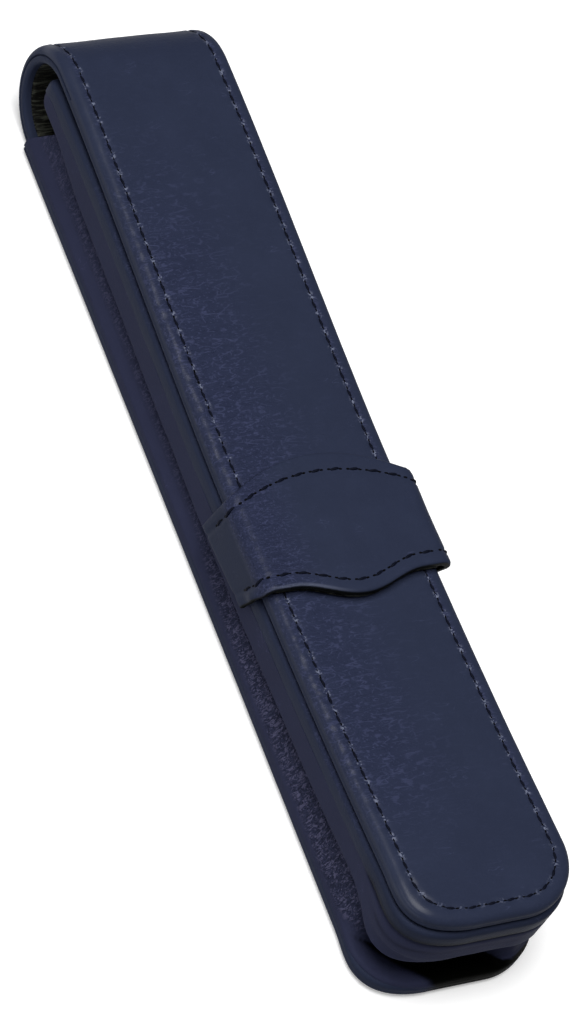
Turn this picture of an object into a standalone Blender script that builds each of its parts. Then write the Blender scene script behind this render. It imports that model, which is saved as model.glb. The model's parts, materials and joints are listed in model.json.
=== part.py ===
"""Leather pen case, lying on its back.

A long flap rolls over the top end, lies on the front panel and has its tongue
under a stitched keeper band.  The front panel hangs on a folded gusset that
runs down both sides and round the foot.

Frame: metres, +Z up out of the flap, +Y towards the rolled end, +X to the right.
The origin is under the middle of the case, on the surface that it lies on.
The sizes below count Y from the foot, and the last lines move the case to the origin.
"""

import math

import bmesh
import bpy
from mathutils import Matrix, Vector

MM = 0.001

# Overall sizes of the closed case
CASE_LENGTH = 160.0 * MM
ROLL_THICKNESS = 19.8 * MM
WAIST_THICKNESS = 17.6 * MM
FOOT_THICKNESS = 21.7 * MM
WAIST_FROM_FOOT = 78.0 * MM
SIDE_TAPER_SHARE = 0.02

# Plies of leather, board and lining
LEATHER = 1.0 * MM
BOARD = 0.5 * MM
LINING = 0.7 * MM
SEAT_GAP = 0.3 * MM
EDGE_ROUND = 0.85 * MM
TURNED_RIM = 1.3 * MM
BOARD_SETBACK = 4.0 * MM

# Flap
FLAP_WIDTH = 28.7 * MM
FLAP_CORNER = 10.4 * MM
FLAP_ABOVE_FOOT = 0.9 * MM

# Front panel, a little wider than the flap on each side
FRONT_OVERHANG = 0.25 * MM
FRONT_CORNER = 10.3 * MM
FRONT_ABOVE_FOOT = 0.3 * MM
FRONT_BELOW_ROLL = 8.5 * MM
FRONT_TIP = 2.2 * MM
MOUTH_RISE = 1.6 * MM

# Back panel, wider again
BACK_OVERHANG = 0.7 * MM
BACK_CORNER = 10.6 * MM
SHOULDER_BELOW_ROLL = 11.0 * MM
SHOULDER_SLOPE = 0.6 * MM

# Gusset, folded once inwards between the front skirt and the back
GUSSET_LEATHER = 0.8 * MM
SKIRT_HEIGHT = 3.9 * MM
FOLD_DEPTH = 7.2 * MM
FOLD_HEIGHT = 1.7 * MM
FOLD_RADIUS = 0.75 * MM
SKIRT_RADIUS = 0.6 * MM
REAR_LIP_MARGIN = 0.2 * MM
GUSSET_BELOW_ROLL = 10.2 * MM
HANG_REACH = 12.0 * MM
HANG_SHARE = 0.9

# Keeper band
BAND_LEATHER = 1.2 * MM
BAND_LINING = 0.5 * MM
BAND_SIDE_CLEARANCE = 0.25 * MM
BAND_CORNER = 1.0 * MM
BAND_FROM_FOOT = 58.6 * MM
BAND_SIDE_WIDTH = 16.0 * MM
BAND_CROWN = 4.8 * MM
BAND_DIP = 2.7 * MM
BAND_DIP_WIDTH = 22.0 * MM
BAND_LEG = 7.4 * MM
BAND_LEG_TAPER = 1.5 * MM
BAND_LINING_MARGIN = 0.6 * MM

# Roll: links of the leather strip between hinge lines on its outer face
ROLL_LINKS = 3
ROLL_STEPS = 6
HINGE_GAP = 0.3 * MM

# Facets
CORNER_STEPS = 8
ROUND_STEPS = 3
FOLD_STEPS = 4
STATION_PITCH = 8.0 * MM
GUSSET_PITCH = 4.0 * MM
BAND_ACROSS_STEPS = 24
OVERRUN = 2.0 * MM

# Widths and places worked out from the sizes above
FRONT_WIDTH = FLAP_WIDTH + 2 * FRONT_OVERHANG
BACK_WIDTH = FRONT_WIDTH + 2 * BACK_OVERHANG
ROLL_RADIUS = ROLL_THICKNESS / 2
ROLL_Y = CASE_LENGTH - ROLL_RADIUS
PANEL = LEATHER + BOARD + LINING + 2 * SEAT_GAP
BOARD_DEPTH = LEATHER + SEAT_GAP
LINING_DEPTH = PANEL - LINING
FLAP_TOP = WAIST_THICKNESS
FRONT_TOP = FLAP_TOP - PANEL - SEAT_GAP
FRONT_BOTTOM = FRONT_TOP - PANEL
FLAP_END = FLAP_ABOVE_FOOT
FRONT_END = FRONT_ABOVE_FOOT
FRONT_MOUTH = CASE_LENGTH - FRONT_BELOW_ROLL
SHOULDER_Y = CASE_LENGTH - SHOULDER_BELOW_ROLL
GUSSET_MOUTH = CASE_LENGTH - GUSSET_BELOW_ROLL
CUT_Y = ROLL_Y - HINGE_GAP / 2


def clear_scene():
    for obj in list(bpy.data.objects):
        bpy.data.objects.remove(obj, do_unlink=True)


def make_collection(name):
    collection = bpy.data.collections.new(name)
    bpy.context.scene.collection.children.link(collection)
    return collection


def material(name, colour, roughness):
    mat = bpy.data.materials.new(name)
    mat.use_nodes = True
    shader = mat.node_tree.nodes["Principled BSDF"]
    shader.inputs["Base Color"].default_value = (*colour, 1.0)
    shader.inputs["Roughness"].default_value = roughness
    shader.inputs["Metallic"].default_value = 0.0
    return mat


# How the flat pieces take the shape of the closed case

def smooth(t):
    t = min(max(t, 0.0), 1.0)
    return t * t * (3.0 - 2.0 * t)


def foot_lift(y):
    """The gusset springs the front open towards the foot."""
    below = max(WAIST_FROM_FOOT - y, 0.0) / WAIST_FROM_FOOT
    return (FOOT_THICKNESS - WAIST_THICKNESS) * below * below


def roll_lift(y):
    """The flap rises from the keeper band to the top of the roll."""
    above = (y - WAIST_FROM_FOOT) / (ROLL_Y - WAIST_FROM_FOOT)
    return (ROLL_THICKNESS - WAIST_THICKNESS) * smooth(above)


def widen(y):
    """Width factor: the case is a little wider at the foot than at the roll."""
    return 1.0 + SIDE_TAPER_SHARE * (CASE_LENGTH / 2 - min(y, ROLL_Y)) / CASE_LENGTH


def lift_none(co):
    return 0.0


def mouth_lift(y):
    """The pens hold the front panel up towards its mouth."""
    above = (y - WAIST_FROM_FOOT) / (FRONT_MOUTH - WAIST_FROM_FOOT)
    return MOUTH_RISE * smooth(above)


def lift_front(co):
    return foot_lift(co.y) + mouth_lift(co.y)


def lift_flap(co):
    return foot_lift(co.y) + roll_lift(co.y)


def hang(co):
    """How far the fold hangs back from the foot lift at a round corner, 0 to 1."""
    corner = Vector((FRONT_WIDTH / 2, FRONT_END + FRONT_CORNER / 2))
    off = (Vector((abs(co.x), co.y)) - corner).length
    return HANG_SHARE * (1.0 - smooth(off / HANG_REACH))


def lift_gusset(co):
    """Nothing at the back panel, all of it at the skirt's top, a share in between."""
    skirt_top = FRONT_BOTTOM - SEAT_GAP
    skirt_fold = skirt_top - SKIRT_HEIGHT
    share = min(max((co.z - PANEL) / (skirt_fold - PANEL), 0.0), 1.0)
    under = min(max((skirt_top - co.z) / SKIRT_HEIGHT, 0.0), 1.0)
    return share * (foot_lift(co.y) * (1.0 - hang(co) * under) + mouth_lift(co.y))


def to_case_shape(bm, lift, stations=True):
    """Cut cross lines every few millimetres, then lift and taper the points."""
    low = min(v.co.y for v in bm.verts)
    high = max(v.co.y for v in bm.verts)
    count = math.ceil((high - low) / STATION_PITCH) if stations else 0
    for i in range(1, count):
        y = low + (high - low) * i / count
        everything = bm.verts[:] + bm.edges[:] + bm.faces[:]
        bmesh.ops.bisect_plane(bm, geom=everything, plane_co=(0, y, 0), plane_no=(0, 1, 0))
    for v in bm.verts:
        v.co = Vector((v.co.x * widen(v.co.y), v.co.y, v.co.z + lift(v.co)))


# Mesh and object helpers

def new_object(name, mesh, collection, mat=None):
    obj = bpy.data.objects.new(name, mesh)
    collection.objects.link(obj)
    if mat:
        mesh.materials.append(mat)
    return obj


def finish_mesh(obj):
    for polygon in obj.data.polygons:
        polygon.use_smooth = True
    obj.data.set_sharp_from_angle(angle=math.radians(35.0))


def evaluated_bmesh(obj):
    """The object with its modifiers applied, as a bmesh in world space."""
    bpy.context.view_layer.update()
    graph = bpy.context.evaluated_depsgraph_get()
    mesh = bpy.data.meshes.new_from_object(obj.evaluated_get(graph))
    bm = bmesh.new()
    bm.from_mesh(mesh)
    bm.transform(obj.matrix_world)
    bpy.data.meshes.remove(mesh)
    bmesh.ops.remove_doubles(bm, verts=bm.verts, dist=0.01 * MM)
    return bm


def replace_mesh(obj, bm, mat):
    bmesh.ops.recalc_face_normals(bm, faces=bm.faces)
    mesh = bpy.data.meshes.new(obj.name)
    bm.to_mesh(mesh)
    bm.free()
    obj.modifiers.clear()
    obj.data = mesh
    obj.matrix_world = Matrix.Identity(4)
    mesh.materials.append(mat)
    finish_mesh(obj)


def arc(cx, cy, radius, start, end, steps):
    """Points along an arc, angles in degrees."""
    points = []
    for i in range(steps + 1):
        angle = math.radians(start + (end - start) * i / steps)
        points.append((cx + radius * math.cos(angle), cy + radius * math.sin(angle)))
    return points


def panel_outline(half, foot, mouth, foot_corner, mouth_corner=0.0):
    """A long panel with round corners at the foot, anticlockwise from the mouth."""
    points = []
    if mouth_corner > 0.0:
        points += arc(-half + mouth_corner, mouth - mouth_corner, mouth_corner, 90, 180, CORNER_STEPS // 2)
    else:
        points.append((-half, mouth))
    points += arc(-half + foot_corner, foot + foot_corner, foot_corner, 180, 270, CORNER_STEPS)
    points += arc(half - foot_corner, foot + foot_corner, foot_corner, 270, 360, CORNER_STEPS)
    if mouth_corner > 0.0:
        points += arc(half - mouth_corner, mouth - mouth_corner, mouth_corner, 0, 90, CORNER_STEPS // 2)
    else:
        points.append((half, mouth))
    return points


def slab(outline, low, high, round_at=None, radius=EDGE_ROUND, keep_end=None):
    """Extruded outline; one rim can be rounded, except along the end at keep_end."""
    bm = bmesh.new()
    face = bm.faces.new([bm.verts.new((x, y, low)) for x, y in outline])
    top = bmesh.ops.extrude_face_region(bm, geom=[face])["geom"]
    for item in top:
        if isinstance(item, bmesh.types.BMVert):
            item.co.z = high
    if round_at is not None:
        rim = []
        for edge in bm.edges:
            a, b = (v.co for v in edge.verts)
            on_rim = abs(a.z - round_at) < EDGE_ROUND / 100 and abs(b.z - round_at) < EDGE_ROUND / 100
            at_end = keep_end is not None and min(a.y, b.y) > keep_end - EDGE_ROUND / 100
            if on_rim and not at_end:
                rim.append(edge)
        bmesh.ops.bevel(
            bm, geom=rim, offset=radius, segments=ROUND_STEPS, profile=0.5, affect="EDGES", clamp_overlap=True
        )
    bmesh.ops.recalc_face_normals(bm, faces=bm.faces)
    return bm


def object_from(bm, name, collection, mat=None):
    mesh = bpy.data.meshes.new(name)
    bm.to_mesh(mesh)
    bm.free()
    return new_object(name, mesh, collection, mat)


def cut_with(obj, cutter):
    cutter.hide_render = True
    cutter.display_type = "WIRE"
    cut = obj.modifiers.new("pocket", "BOOLEAN")
    cut.operation = "DIFFERENCE"
    cut.solver = "EXACT"
    cut.object = cutter


def panel(prefix, half, foot, mouth, corner, outer, inward, lift, open_end, tip=0.0, outline=None):
    """Turned-edge cover, stiffening board and lining of one panel.

    outer is the height of the leather's face and inward is +1 or -1 along Z.
    An open end has no turned rim, because the strip runs on into the roll.
    """
    def level(depth):
        return outer + inward * depth

    keep_end = mouth if open_end else None
    shape = outline or panel_outline(half, foot, mouth, corner, tip)
    body = slab(shape, min(outer, level(PANEL)), max(outer, level(PANEL)), outer, EDGE_ROUND, keep_end)
    cover = object_from(body, prefix + "_cover", parts)

    inner_mouth = mouth + OVERRUN if open_end else mouth - TURNED_RIM
    inner_tip = 0.0 if open_end else max(tip - TURNED_RIM, EDGE_ROUND)
    tray = panel_outline(half - TURNED_RIM, foot + TURNED_RIM, inner_mouth, corner - TURNED_RIM, inner_tip)
    low, high = sorted((level(LEATHER), level(PANEL + OVERRUN)))
    cutter = object_from(slab(tray, low, high), prefix + "_tray_cutter", cutters)
    cut_with(cover, cutter)
    bm = evaluated_bmesh(cover)
    to_case_shape(bm, lift)
    replace_mesh(cover, bm, leather)

    inset = TURNED_RIM + SEAT_GAP
    board_mouth = mouth - BOARD_SETBACK if open_end else mouth - inset
    lining_mouth = mouth if open_end else mouth - inset
    for name, depth, thickness, end, mat in (
        ("_board", BOARD_DEPTH, BOARD, board_mouth, card),
        ("_lining", LINING_DEPTH, LINING, lining_mouth, lining_cloth),
    ):
        ply = panel_outline(half - inset, foot + inset, end, corner - inset, 0.0 if open_end else inner_tip)
        low, high = sorted((level(depth), level(depth + thickness)))
        bm = slab(ply, low, high)
        to_case_shape(bm, lift)
        piece = object_from(bm, prefix + name, parts)
        replace_mesh(piece, evaluated_bmesh(piece), mat)
    return cover


def back_outline():
    """The back is wider than the strip that rolls over, with a small shoulder."""
    half = BACK_WIDTH / 2
    strip = FLAP_WIDTH / 2
    wide = panel_outline(half, 0.0, SHOULDER_Y, BACK_CORNER)
    slope = [(strip, SHOULDER_Y + SHOULDER_SLOPE), (strip, CUT_Y)]
    mirrored = [(-x, y) for x, y in reversed(slope)]
    return wide + slope + mirrored


def make_panels():
    flap = panel(
        "flap", FLAP_WIDTH / 2, FLAP_END, CUT_Y, FLAP_CORNER, FLAP_TOP, -1, lift_flap, open_end=True
    )
    panel(
        "front", FRONT_WIDTH / 2, FRONT_END, FRONT_MOUTH, FRONT_CORNER, FRONT_TOP, -1, lift_front,
        open_end=False, tip=FRONT_TIP,
    )
    panel(
        "back", FLAP_WIDTH / 2, (BACK_WIDTH - FLAP_WIDTH) / 2, CUT_Y, BACK_CORNER, 0.0, 1, lift_none,
        open_end=True, outline=back_outline(),
    )
    return flap


# Gusset

def filleted(points, radii, steps):
    """A broken line with each inner corner replaced by an arc."""
    path = [Vector(points[0])]
    for before, corner, after, radius in zip(points, points[1:], points[2:], radii):
        corner = Vector(corner)
        back = (Vector(before) - corner).normalized()
        ahead = (Vector(after) - corner).normalized()
        half_angle = back.angle(ahead) / 2
        centre = corner + (back + ahead).normalized() * radius / math.sin(half_angle)
        start = corner + back * radius / math.tan(half_angle) - centre
        turn = start.angle_signed(corner + ahead * radius / math.tan(half_angle) - centre)
        for i in range(steps + 1):
            path.append(centre + Matrix.Rotation(-turn * i / steps, 2) @ start)
    path.append(Vector(points[-1]))
    return path


def thick_line(path, thickness):
    """Closed outline of a strip of even thickness along a line."""
    left, right = [], []
    for i, point in enumerate(path):
        ahead = path[min(i + 1, len(path) - 1)] - path[max(i - 1, 0)]
        normal = Vector((-ahead.y, ahead.x)).normalized() * thickness / 2
        left.append(point + normal)
        right.append(point - normal)
    return left + right[::-1]


def gusset_section():
    """Section through the gusset: inward distance, then height."""
    half = GUSSET_LEATHER / 2
    skirt_top = FRONT_BOTTOM - SEAT_GAP
    lip_height = PANEL + SEAT_GAP + half
    line = [
        (half, skirt_top),
        (half, skirt_top - SKIRT_HEIGHT),
        (FOLD_DEPTH, lip_height + FOLD_HEIGHT),
        (REAR_LIP_MARGIN - FRONT_ABOVE_FOOT, lip_height),
    ]
    return thick_line(filleted(line, (SKIRT_RADIUS, FOLD_RADIUS), FOLD_STEPS), GUSSET_LEATHER)


def curve_object(name, points, collection, closed):
    curve = bpy.data.curves.new(name, "CURVE")
    curve.dimensions = "2D"
    spline = curve.splines.new("POLY")
    spline.points.add(len(points) - 1)
    for point, (x, y) in zip(spline.points, points):
        point.co = (x, y, 0.0, 1.0)
    spline.use_cyclic_u = closed
    return new_object(name, curve, collection)


def make_gusset():
    outline = panel_outline(FRONT_WIDTH / 2, FRONT_END, GUSSET_MOUTH, FRONT_CORNER)
    path = []
    for a, b in zip(outline, outline[1:]):
        a, b = Vector(a), Vector(b)
        count = max(1, math.ceil((b - a).length / GUSSET_PITCH))
        path += [a.lerp(b, i / count) for i in range(count)]
    path.append(Vector(outline[-1]))
    section = curve_object("gusset_section", [(-u, z) for u, z in gusset_section()], cutters, True)
    sweep = curve_object("gusset", path, parts, False)
    sweep.data.bevel_mode = "OBJECT"
    sweep.data.bevel_object = section
    sweep.data.use_fill_caps = True
    section.hide_render = True
    bm = evaluated_bmesh(sweep)
    to_case_shape(bm, lift_gusset, stations=False)
    bpy.data.objects.remove(sweep, do_unlink=True)
    gusset = object_from(bm, "gusset", parts)
    replace_mesh(gusset, evaluated_bmesh(gusset), gusset_leather)
    return gusset


# Keeper band

def band_low_edge(x):
    """Lower edge: straight at the sides, with a soft dip in the middle."""
    t = min(abs(x) / (BAND_DIP_WIDTH / 2), 1.0)
    return BAND_FROM_FOOT - BAND_DIP * 0.5 * (1.0 + math.cos(math.pi * t))


def band_high_edge(x):
    """Upper edge: one shallow arch."""
    t = x / (FRONT_WIDTH / 2)
    return BAND_FROM_FOOT + BAND_SIDE_WIDTH + BAND_CROWN * (1.0 - t * t)


def band_line(inner_half, inner_top, leg, corner, across_steps):
    """Across the case: up one side, over the flap and down the other side.

    Each point is x, z and the share of the leg that has been walked down.
    """
    right = []
    for i in range(across_steps // 2 + 1):
        right.append((inner_half * i / (across_steps // 2) * (1.0 - corner / inner_half), inner_top, 0.0))
    for x, z in arc(inner_half - corner, inner_top - corner, corner, 90, 0, ROUND_STEPS)[1:]:
        right.append((x, z, 0.0))
    leg_steps = 3
    for i in range(1, leg_steps + 1):
        right.append((inner_half, inner_top - corner - (leg - corner) * i / leg_steps, i / leg_steps))
    left = [(-x, z, down) for x, z, down in reversed(right[1:])]
    return left + right


def band_sheet(name, line, margin, thickness, mat, lengthways_steps):
    """A grid laid along the line, with the wavy edges, given its thickness."""
    bm = bmesh.new()
    bmesh.ops.create_grid(bm, x_segments=len(line) - 1, y_segments=lengthways_steps, size=1.0)
    for v in bm.verts:
        x, z, down = line[round((v.co.x + 1.0) / 2 * (len(line) - 1))]
        low = band_low_edge(x) + margin + BAND_LEG_TAPER * down
        high = band_high_edge(x) - margin - BAND_LEG_TAPER * down
        v.co = Vector((x, low + (high - low) * (v.co.y + 1.0) / 2, z))
    for v in bm.verts:
        v.co = Vector((v.co.x * widen(v.co.y), v.co.y, v.co.z + lift_flap(v.co)))
    sheet = object_from(bm, name, parts)
    solid = sheet.modifiers.new("thickness", "SOLIDIFY")
    solid.thickness = thickness
    solid.offset = 1.0
    solid.use_even_offset = True
    replace_mesh(sheet, evaluated_bmesh(sheet), mat)
    return sheet


def make_keeper():
    lining_inner = FLAP_TOP + SEAT_GAP
    leather_inner = lining_inner + BAND_LINING + SEAT_GAP
    half = FRONT_WIDTH / 2 + BAND_SIDE_CLEARANCE
    line = band_line(half, leather_inner, BAND_LEG, BAND_CORNER, BAND_ACROSS_STEPS)
    band_sheet("keeper_band", line, 0.0, BAND_LEATHER, leather, 4)
    lining_half = half - BAND_CORNER - SEAT_GAP
    steps = BAND_ACROSS_STEPS
    flat = [(lining_half * (2 * i / steps - 1.0), lining_inner, 0.0) for i in range(steps + 1)]
    band_sheet("keeper_lining", flat, BAND_LINING_MARGIN, BAND_LINING, lining_cloth, 4)


# Roll

def roll_section(low_depth, high_depth, half, rounded):
    """Section of one ply of the roll: sideways, then height above the case floor."""
    if not rounded:
        return [(-half, low_depth), (half, low_depth), (half, high_depth), (-half, high_depth)]
    right = arc(half - EDGE_ROUND, low_depth + EDGE_ROUND, EDGE_ROUND, 270, 360, ROUND_STEPS)
    right += [(half, high_depth), (half - TURNED_RIM, high_depth), (half - TURNED_RIM, LEATHER)]
    return right + [(-x, z) for x, z in reversed(right)]


def roll_link(name, section, index, mat):
    """One link: the flat section turned about the middle of the roll."""
    turn = math.pi / ROLL_LINKS
    trim = HINGE_GAP / 2 / (ROLL_RADIUS - PANEL)
    middle = Vector((0.0, ROLL_Y, ROLL_RADIUS))
    axis = Vector((1.0, 0.0, 0.0))
    bm = bmesh.new()
    width = widen(ROLL_Y)
    face = bm.faces.new([bm.verts.new((x * width, ROLL_Y, z)) for x, z in section])
    start = Matrix.Rotation(turn * index + trim, 3, axis)
    bmesh.ops.rotate(bm, cent=middle, matrix=start, verts=bm.verts)
    bmesh.ops.spin(
        bm, geom=[face] + face.edges[:] + face.verts[:], cent=middle, axis=axis,
        angle=turn - 2 * trim, steps=ROLL_STEPS, use_duplicate=False,
    )
    # The start face is kept under the sweep, so doubled points are merged
    bmesh.ops.remove_doubles(bm, verts=bm.verts, dist=0.01 * MM)
    link = object_from(bm, name, parts)
    replace_mesh(link, evaluated_bmesh(link), mat)
    return link


def set_origin(obj, point):
    """Move the origin to the hinge line and leave the shape where it is."""
    obj.data.transform(Matrix.Translation(-point))
    obj.location = point


def hinge_point(index):
    """Hinge lines lie on the outer face of the roll, a link apart."""
    angle = -math.pi / 2 + index * math.pi / ROLL_LINKS
    return Vector((0.0, ROLL_Y + ROLL_RADIUS * math.cos(angle), ROLL_RADIUS + ROLL_RADIUS * math.sin(angle)))


def make_roll():
    half = FLAP_WIDTH / 2
    cover = roll_section(0.0, PANEL, half, True)
    lining_start = LEATHER + SEAT_GAP
    inner = roll_section(lining_start, PANEL, half - TURNED_RIM - SEAT_GAP, False)
    for i in range(ROLL_LINKS):
        for name, section, mat in (("cover", cover, leather), ("lining", inner, lining_cloth)):
            link = roll_link(f"roll_{name}_{i + 1}", section, i, mat)
            set_origin(link, hinge_point(i))


clear_scene()
parts = make_collection("pen_case")
cutters = make_collection("cutters")
leather = material("navy_leather", (0.030, 0.036, 0.090), 0.45)
gusset_leather = material("navy_gusset_leather", (0.032, 0.037, 0.085), 0.55)
lining_cloth = material("dark_lining", (0.020, 0.020, 0.018), 0.75)
card = material("grey_board", (0.28, 0.27, 0.25), 0.85)

make_panels()
make_gusset()
make_keeper()
make_roll()
for part_name in ("flap_cover", "flap_board", "flap_lining"):
    set_origin(bpy.data.objects[part_name], hinge_point(ROLL_LINKS))
for part in parts.objects:
    part.location.y -= CASE_LENGTH / 2
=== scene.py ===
"""Looks of a leather pen case with a rolled flap, a keeper band and a folded gusset.

The back, the roll and the flap are one long strip of leather.  Each stretch of it is
laid out flat, where x runs across, t runs along and z is up out of the outer face,
gets its turned edge and stitch groove there, and is then wrapped onto the case.
"""

import json
import math

import bmesh
import bpy
from mathutils import Matrix, Vector, noise
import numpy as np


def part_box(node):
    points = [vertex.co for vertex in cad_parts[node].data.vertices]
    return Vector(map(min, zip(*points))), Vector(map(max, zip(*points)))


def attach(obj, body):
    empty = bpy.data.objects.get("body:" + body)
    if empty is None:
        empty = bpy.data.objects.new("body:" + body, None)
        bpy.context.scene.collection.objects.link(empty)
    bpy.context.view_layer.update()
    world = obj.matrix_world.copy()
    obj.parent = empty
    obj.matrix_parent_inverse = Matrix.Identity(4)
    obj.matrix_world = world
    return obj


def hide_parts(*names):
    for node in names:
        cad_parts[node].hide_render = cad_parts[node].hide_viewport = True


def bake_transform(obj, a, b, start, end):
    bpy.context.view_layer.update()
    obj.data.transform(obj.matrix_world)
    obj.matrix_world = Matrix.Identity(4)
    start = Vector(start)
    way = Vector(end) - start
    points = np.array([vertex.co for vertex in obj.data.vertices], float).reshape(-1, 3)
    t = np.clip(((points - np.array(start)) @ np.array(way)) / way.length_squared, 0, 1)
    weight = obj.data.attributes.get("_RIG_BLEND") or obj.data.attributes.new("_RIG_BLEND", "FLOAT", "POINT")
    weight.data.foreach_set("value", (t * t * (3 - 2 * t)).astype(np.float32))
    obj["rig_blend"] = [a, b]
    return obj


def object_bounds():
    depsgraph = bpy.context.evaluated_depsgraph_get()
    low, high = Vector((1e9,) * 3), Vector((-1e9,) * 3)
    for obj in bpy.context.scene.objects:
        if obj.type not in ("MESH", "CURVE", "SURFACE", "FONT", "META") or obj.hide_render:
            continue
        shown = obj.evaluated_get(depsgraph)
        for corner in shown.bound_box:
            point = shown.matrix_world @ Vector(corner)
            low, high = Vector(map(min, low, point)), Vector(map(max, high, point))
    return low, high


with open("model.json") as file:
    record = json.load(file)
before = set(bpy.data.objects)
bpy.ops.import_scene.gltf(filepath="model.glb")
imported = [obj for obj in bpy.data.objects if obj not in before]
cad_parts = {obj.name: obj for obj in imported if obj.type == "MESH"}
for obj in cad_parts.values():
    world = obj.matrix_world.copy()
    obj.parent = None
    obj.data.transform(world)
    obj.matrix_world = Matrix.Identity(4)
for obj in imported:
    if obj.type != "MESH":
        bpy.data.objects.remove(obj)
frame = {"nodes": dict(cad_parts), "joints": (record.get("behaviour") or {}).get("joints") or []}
cad_low, cad_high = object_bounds()

MM = 0.001
COARSE = 1.0

# Sizes of the case, read from the frame
hinge = {joint["name"]: Vector(joint["pos_m"]) for joint in frame["joints"]}
FOOT = cad_low.y
LENGTH = cad_high.y - cad_low.y
ROLL_RADIUS = hinge["flap_bend"].z / 2
BACK_RUN = hinge["flap_bend"].y - FOOT
ROLL_RUN = math.pi * ROLL_RADIUS
FLAP_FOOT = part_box("flap_cover")[0].y - FOOT
STRIP_RUN = 2 * BACK_RUN + ROLL_RUN - FLAP_FOOT
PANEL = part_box("back_cover")[1].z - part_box("back_cover")[0].z

# Sizes that the solids are built to
WAIST_THICKNESS = 17.6 * MM
FOOT_THICKNESS = 21.7 * MM
WAIST_FROM_FOOT = 78.0 * MM
SIDE_TAPER_SHARE = 0.02
STRIP_HALF = 14.35 * MM
FLAP_CORNER = 10.4 * MM
FRONT_HALF = 14.6 * MM
FRONT_CORNER = 10.3 * MM
FRONT_TIP = 2.0 * MM
MOUTH_RISE = 1.4 * MM
MOUTH_FLAT = 8.0 * MM
NOSE_DROP = 2.4 * MM
NOSE = 4.5 * MM
BACK_HALF = 15.3 * MM
BACK_CORNER = 10.6 * MM
SHOULDER = 149.2 * MM
SHOULDER_SLOPE = 0.6 * MM
LEATHER = 1.0 * MM
LINING = 0.7 * MM
LINING_PLAY = 0.08 * MM
SEAT_GAP = 0.3 * MM
TURNED_RIM = 1.3 * MM
FRONT_TOP = WAIST_THICKNESS - PANEL - SEAT_GAP
FRONT_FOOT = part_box("front_cover")[0].y - FOOT
FRONT_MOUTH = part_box("front_cover")[1].y - FOOT + 1.5 * MM

# The left foot corner is fuller than the right one
FILL_X = -13.0 * MM
FILL_Y = 4.0 * MM
FILL_REACH = 10.0
FILL_ACROSS = -1.1 * MM
FILL_ALONG = -0.85 * MM

# Stitching
STITCH_INSET = 2.5 * MM
STITCH_PITCH = 3.1 * MM
GROOVE_DEPTH = 0.20 * MM

# Mesh spacing
PITCH = 0.45 * MM * COARSE
PLY_PITCH = 1.2 * MM * COARSE
ARC_STEPS = round(30 / COARSE)
LEAST_RADIUS = 0.3 * MM
WELD = 0.004 * MM
HAIR = 1e-7


# Soft steps: where one starts and how wide it is are given in millimetres

def smooth(t):
    t = min(max(t, 0.0), 1.0)
    return t * t * (3.0 - 2.0 * t)


def rise(value, start, width):
    """0 up to the start, 1 from a width beyond it."""
    return smooth((value - start * MM) / (width * MM))


def fall(value, end, width):
    """1 up to a width before the end, 0 from the end on."""
    return smooth((end * MM - value) / (width * MM))


def near(distance, reach):
    """1 at no distance, 0 from the reach on."""
    return 1.0 - smooth(distance / (reach * MM))


# How flat pieces take the shape of the closed case

def foot_lift(y):
    below = max(WAIST_FROM_FOOT - y, 0.0) / WAIST_FROM_FOOT
    return (FOOT_THICKNESS - WAIST_THICKNESS) * below * below


def mouth_lift(y):
    top = BACK_RUN - MOUTH_FLAT
    return MOUTH_RISE * smooth((y - WAIST_FROM_FOOT) / (top - WAIST_FROM_FOOT))


def nose_drop(y):
    """The front's mouth end curves down like a quarter of an ellipse."""
    e = min(max((y - FRONT_MOUTH + NOSE) / NOSE, 0.0), 0.98)
    return NOSE_DROP * (1.0 - math.sqrt(1.0 - e * e))


def flap_top(y):
    above = (y - WAIST_FROM_FOOT) / (BACK_RUN - WAIST_FROM_FOOT)
    return WAIST_THICKNESS + foot_lift(y) + (2 * ROLL_RADIUS - WAIST_THICKNESS) * smooth(above)


def widen(y):
    return 1.0 + SIDE_TAPER_SHARE * (LENGTH / 2 - min(y, BACK_RUN)) / LENGTH


def corner_fill(x, y):
    """How far a point near the left foot corner is moved outwards."""
    share = near(math.hypot(x - FILL_X, y - FILL_Y), FILL_REACH)
    return Vector((FILL_ACROSS * fall(y, 14.0, 8.0), FILL_ALONG, 0.0)) * share


def strip_point(x, s, depth):
    """Across, along from the foot of the back, and in from the outer face."""
    if s < BACK_RUN:
        y, z = s, depth
    elif s < BACK_RUN + ROLL_RUN:
        turn = (s - BACK_RUN) / ROLL_RADIUS
        y = BACK_RUN + (ROLL_RADIUS - depth) * math.sin(turn)
        z = ROLL_RADIUS - (ROLL_RADIUS - depth) * math.cos(turn)
    else:
        y = 2 * BACK_RUN + ROLL_RUN - s
        z = flap_top(y) - depth
    return Vector((x * widen(y), FOOT + y, z)) + corner_fill(x, y)


def flap_point(x, t, depth):
    return strip_point(x, STRIP_RUN - t, depth)


def front_point(x, t, depth):
    y = FRONT_FOOT + t
    z = FRONT_TOP + foot_lift(y) + mouth_lift(y) - nose_drop(y) - depth
    return Vector((x * widen(y), FOOT + y, z)) + corner_fill(x, y)


# Creases of the flap: where they start and end, and over how many millimetres they fade
CREASES_ACROSS = (6.0, 15.0)
CREASES_TOP = (146.0, 40.0)
BAND_UPPER_SIDE = (70.0, 6.0)
BAND_LOWER_SIDE = (64.0, 4.0)
CREASES_FOOT = (10.0, 22.0)
FLAP_LEVEL = (14.0, 2.0)
RIM_LEVEL = (15.0, 2.0)

# The highlight on the left foot corner of the flap
SHINE_X = -14.6 * MM
SHINE_Y = 7.0 * MM


# Relief of the leather

def ripple(point, size, seed):
    """Soft noise between -1 and 1, with bumps about as wide as the size."""
    return noise.noise(point / size + Vector((seed, -seed, seed)))


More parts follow.
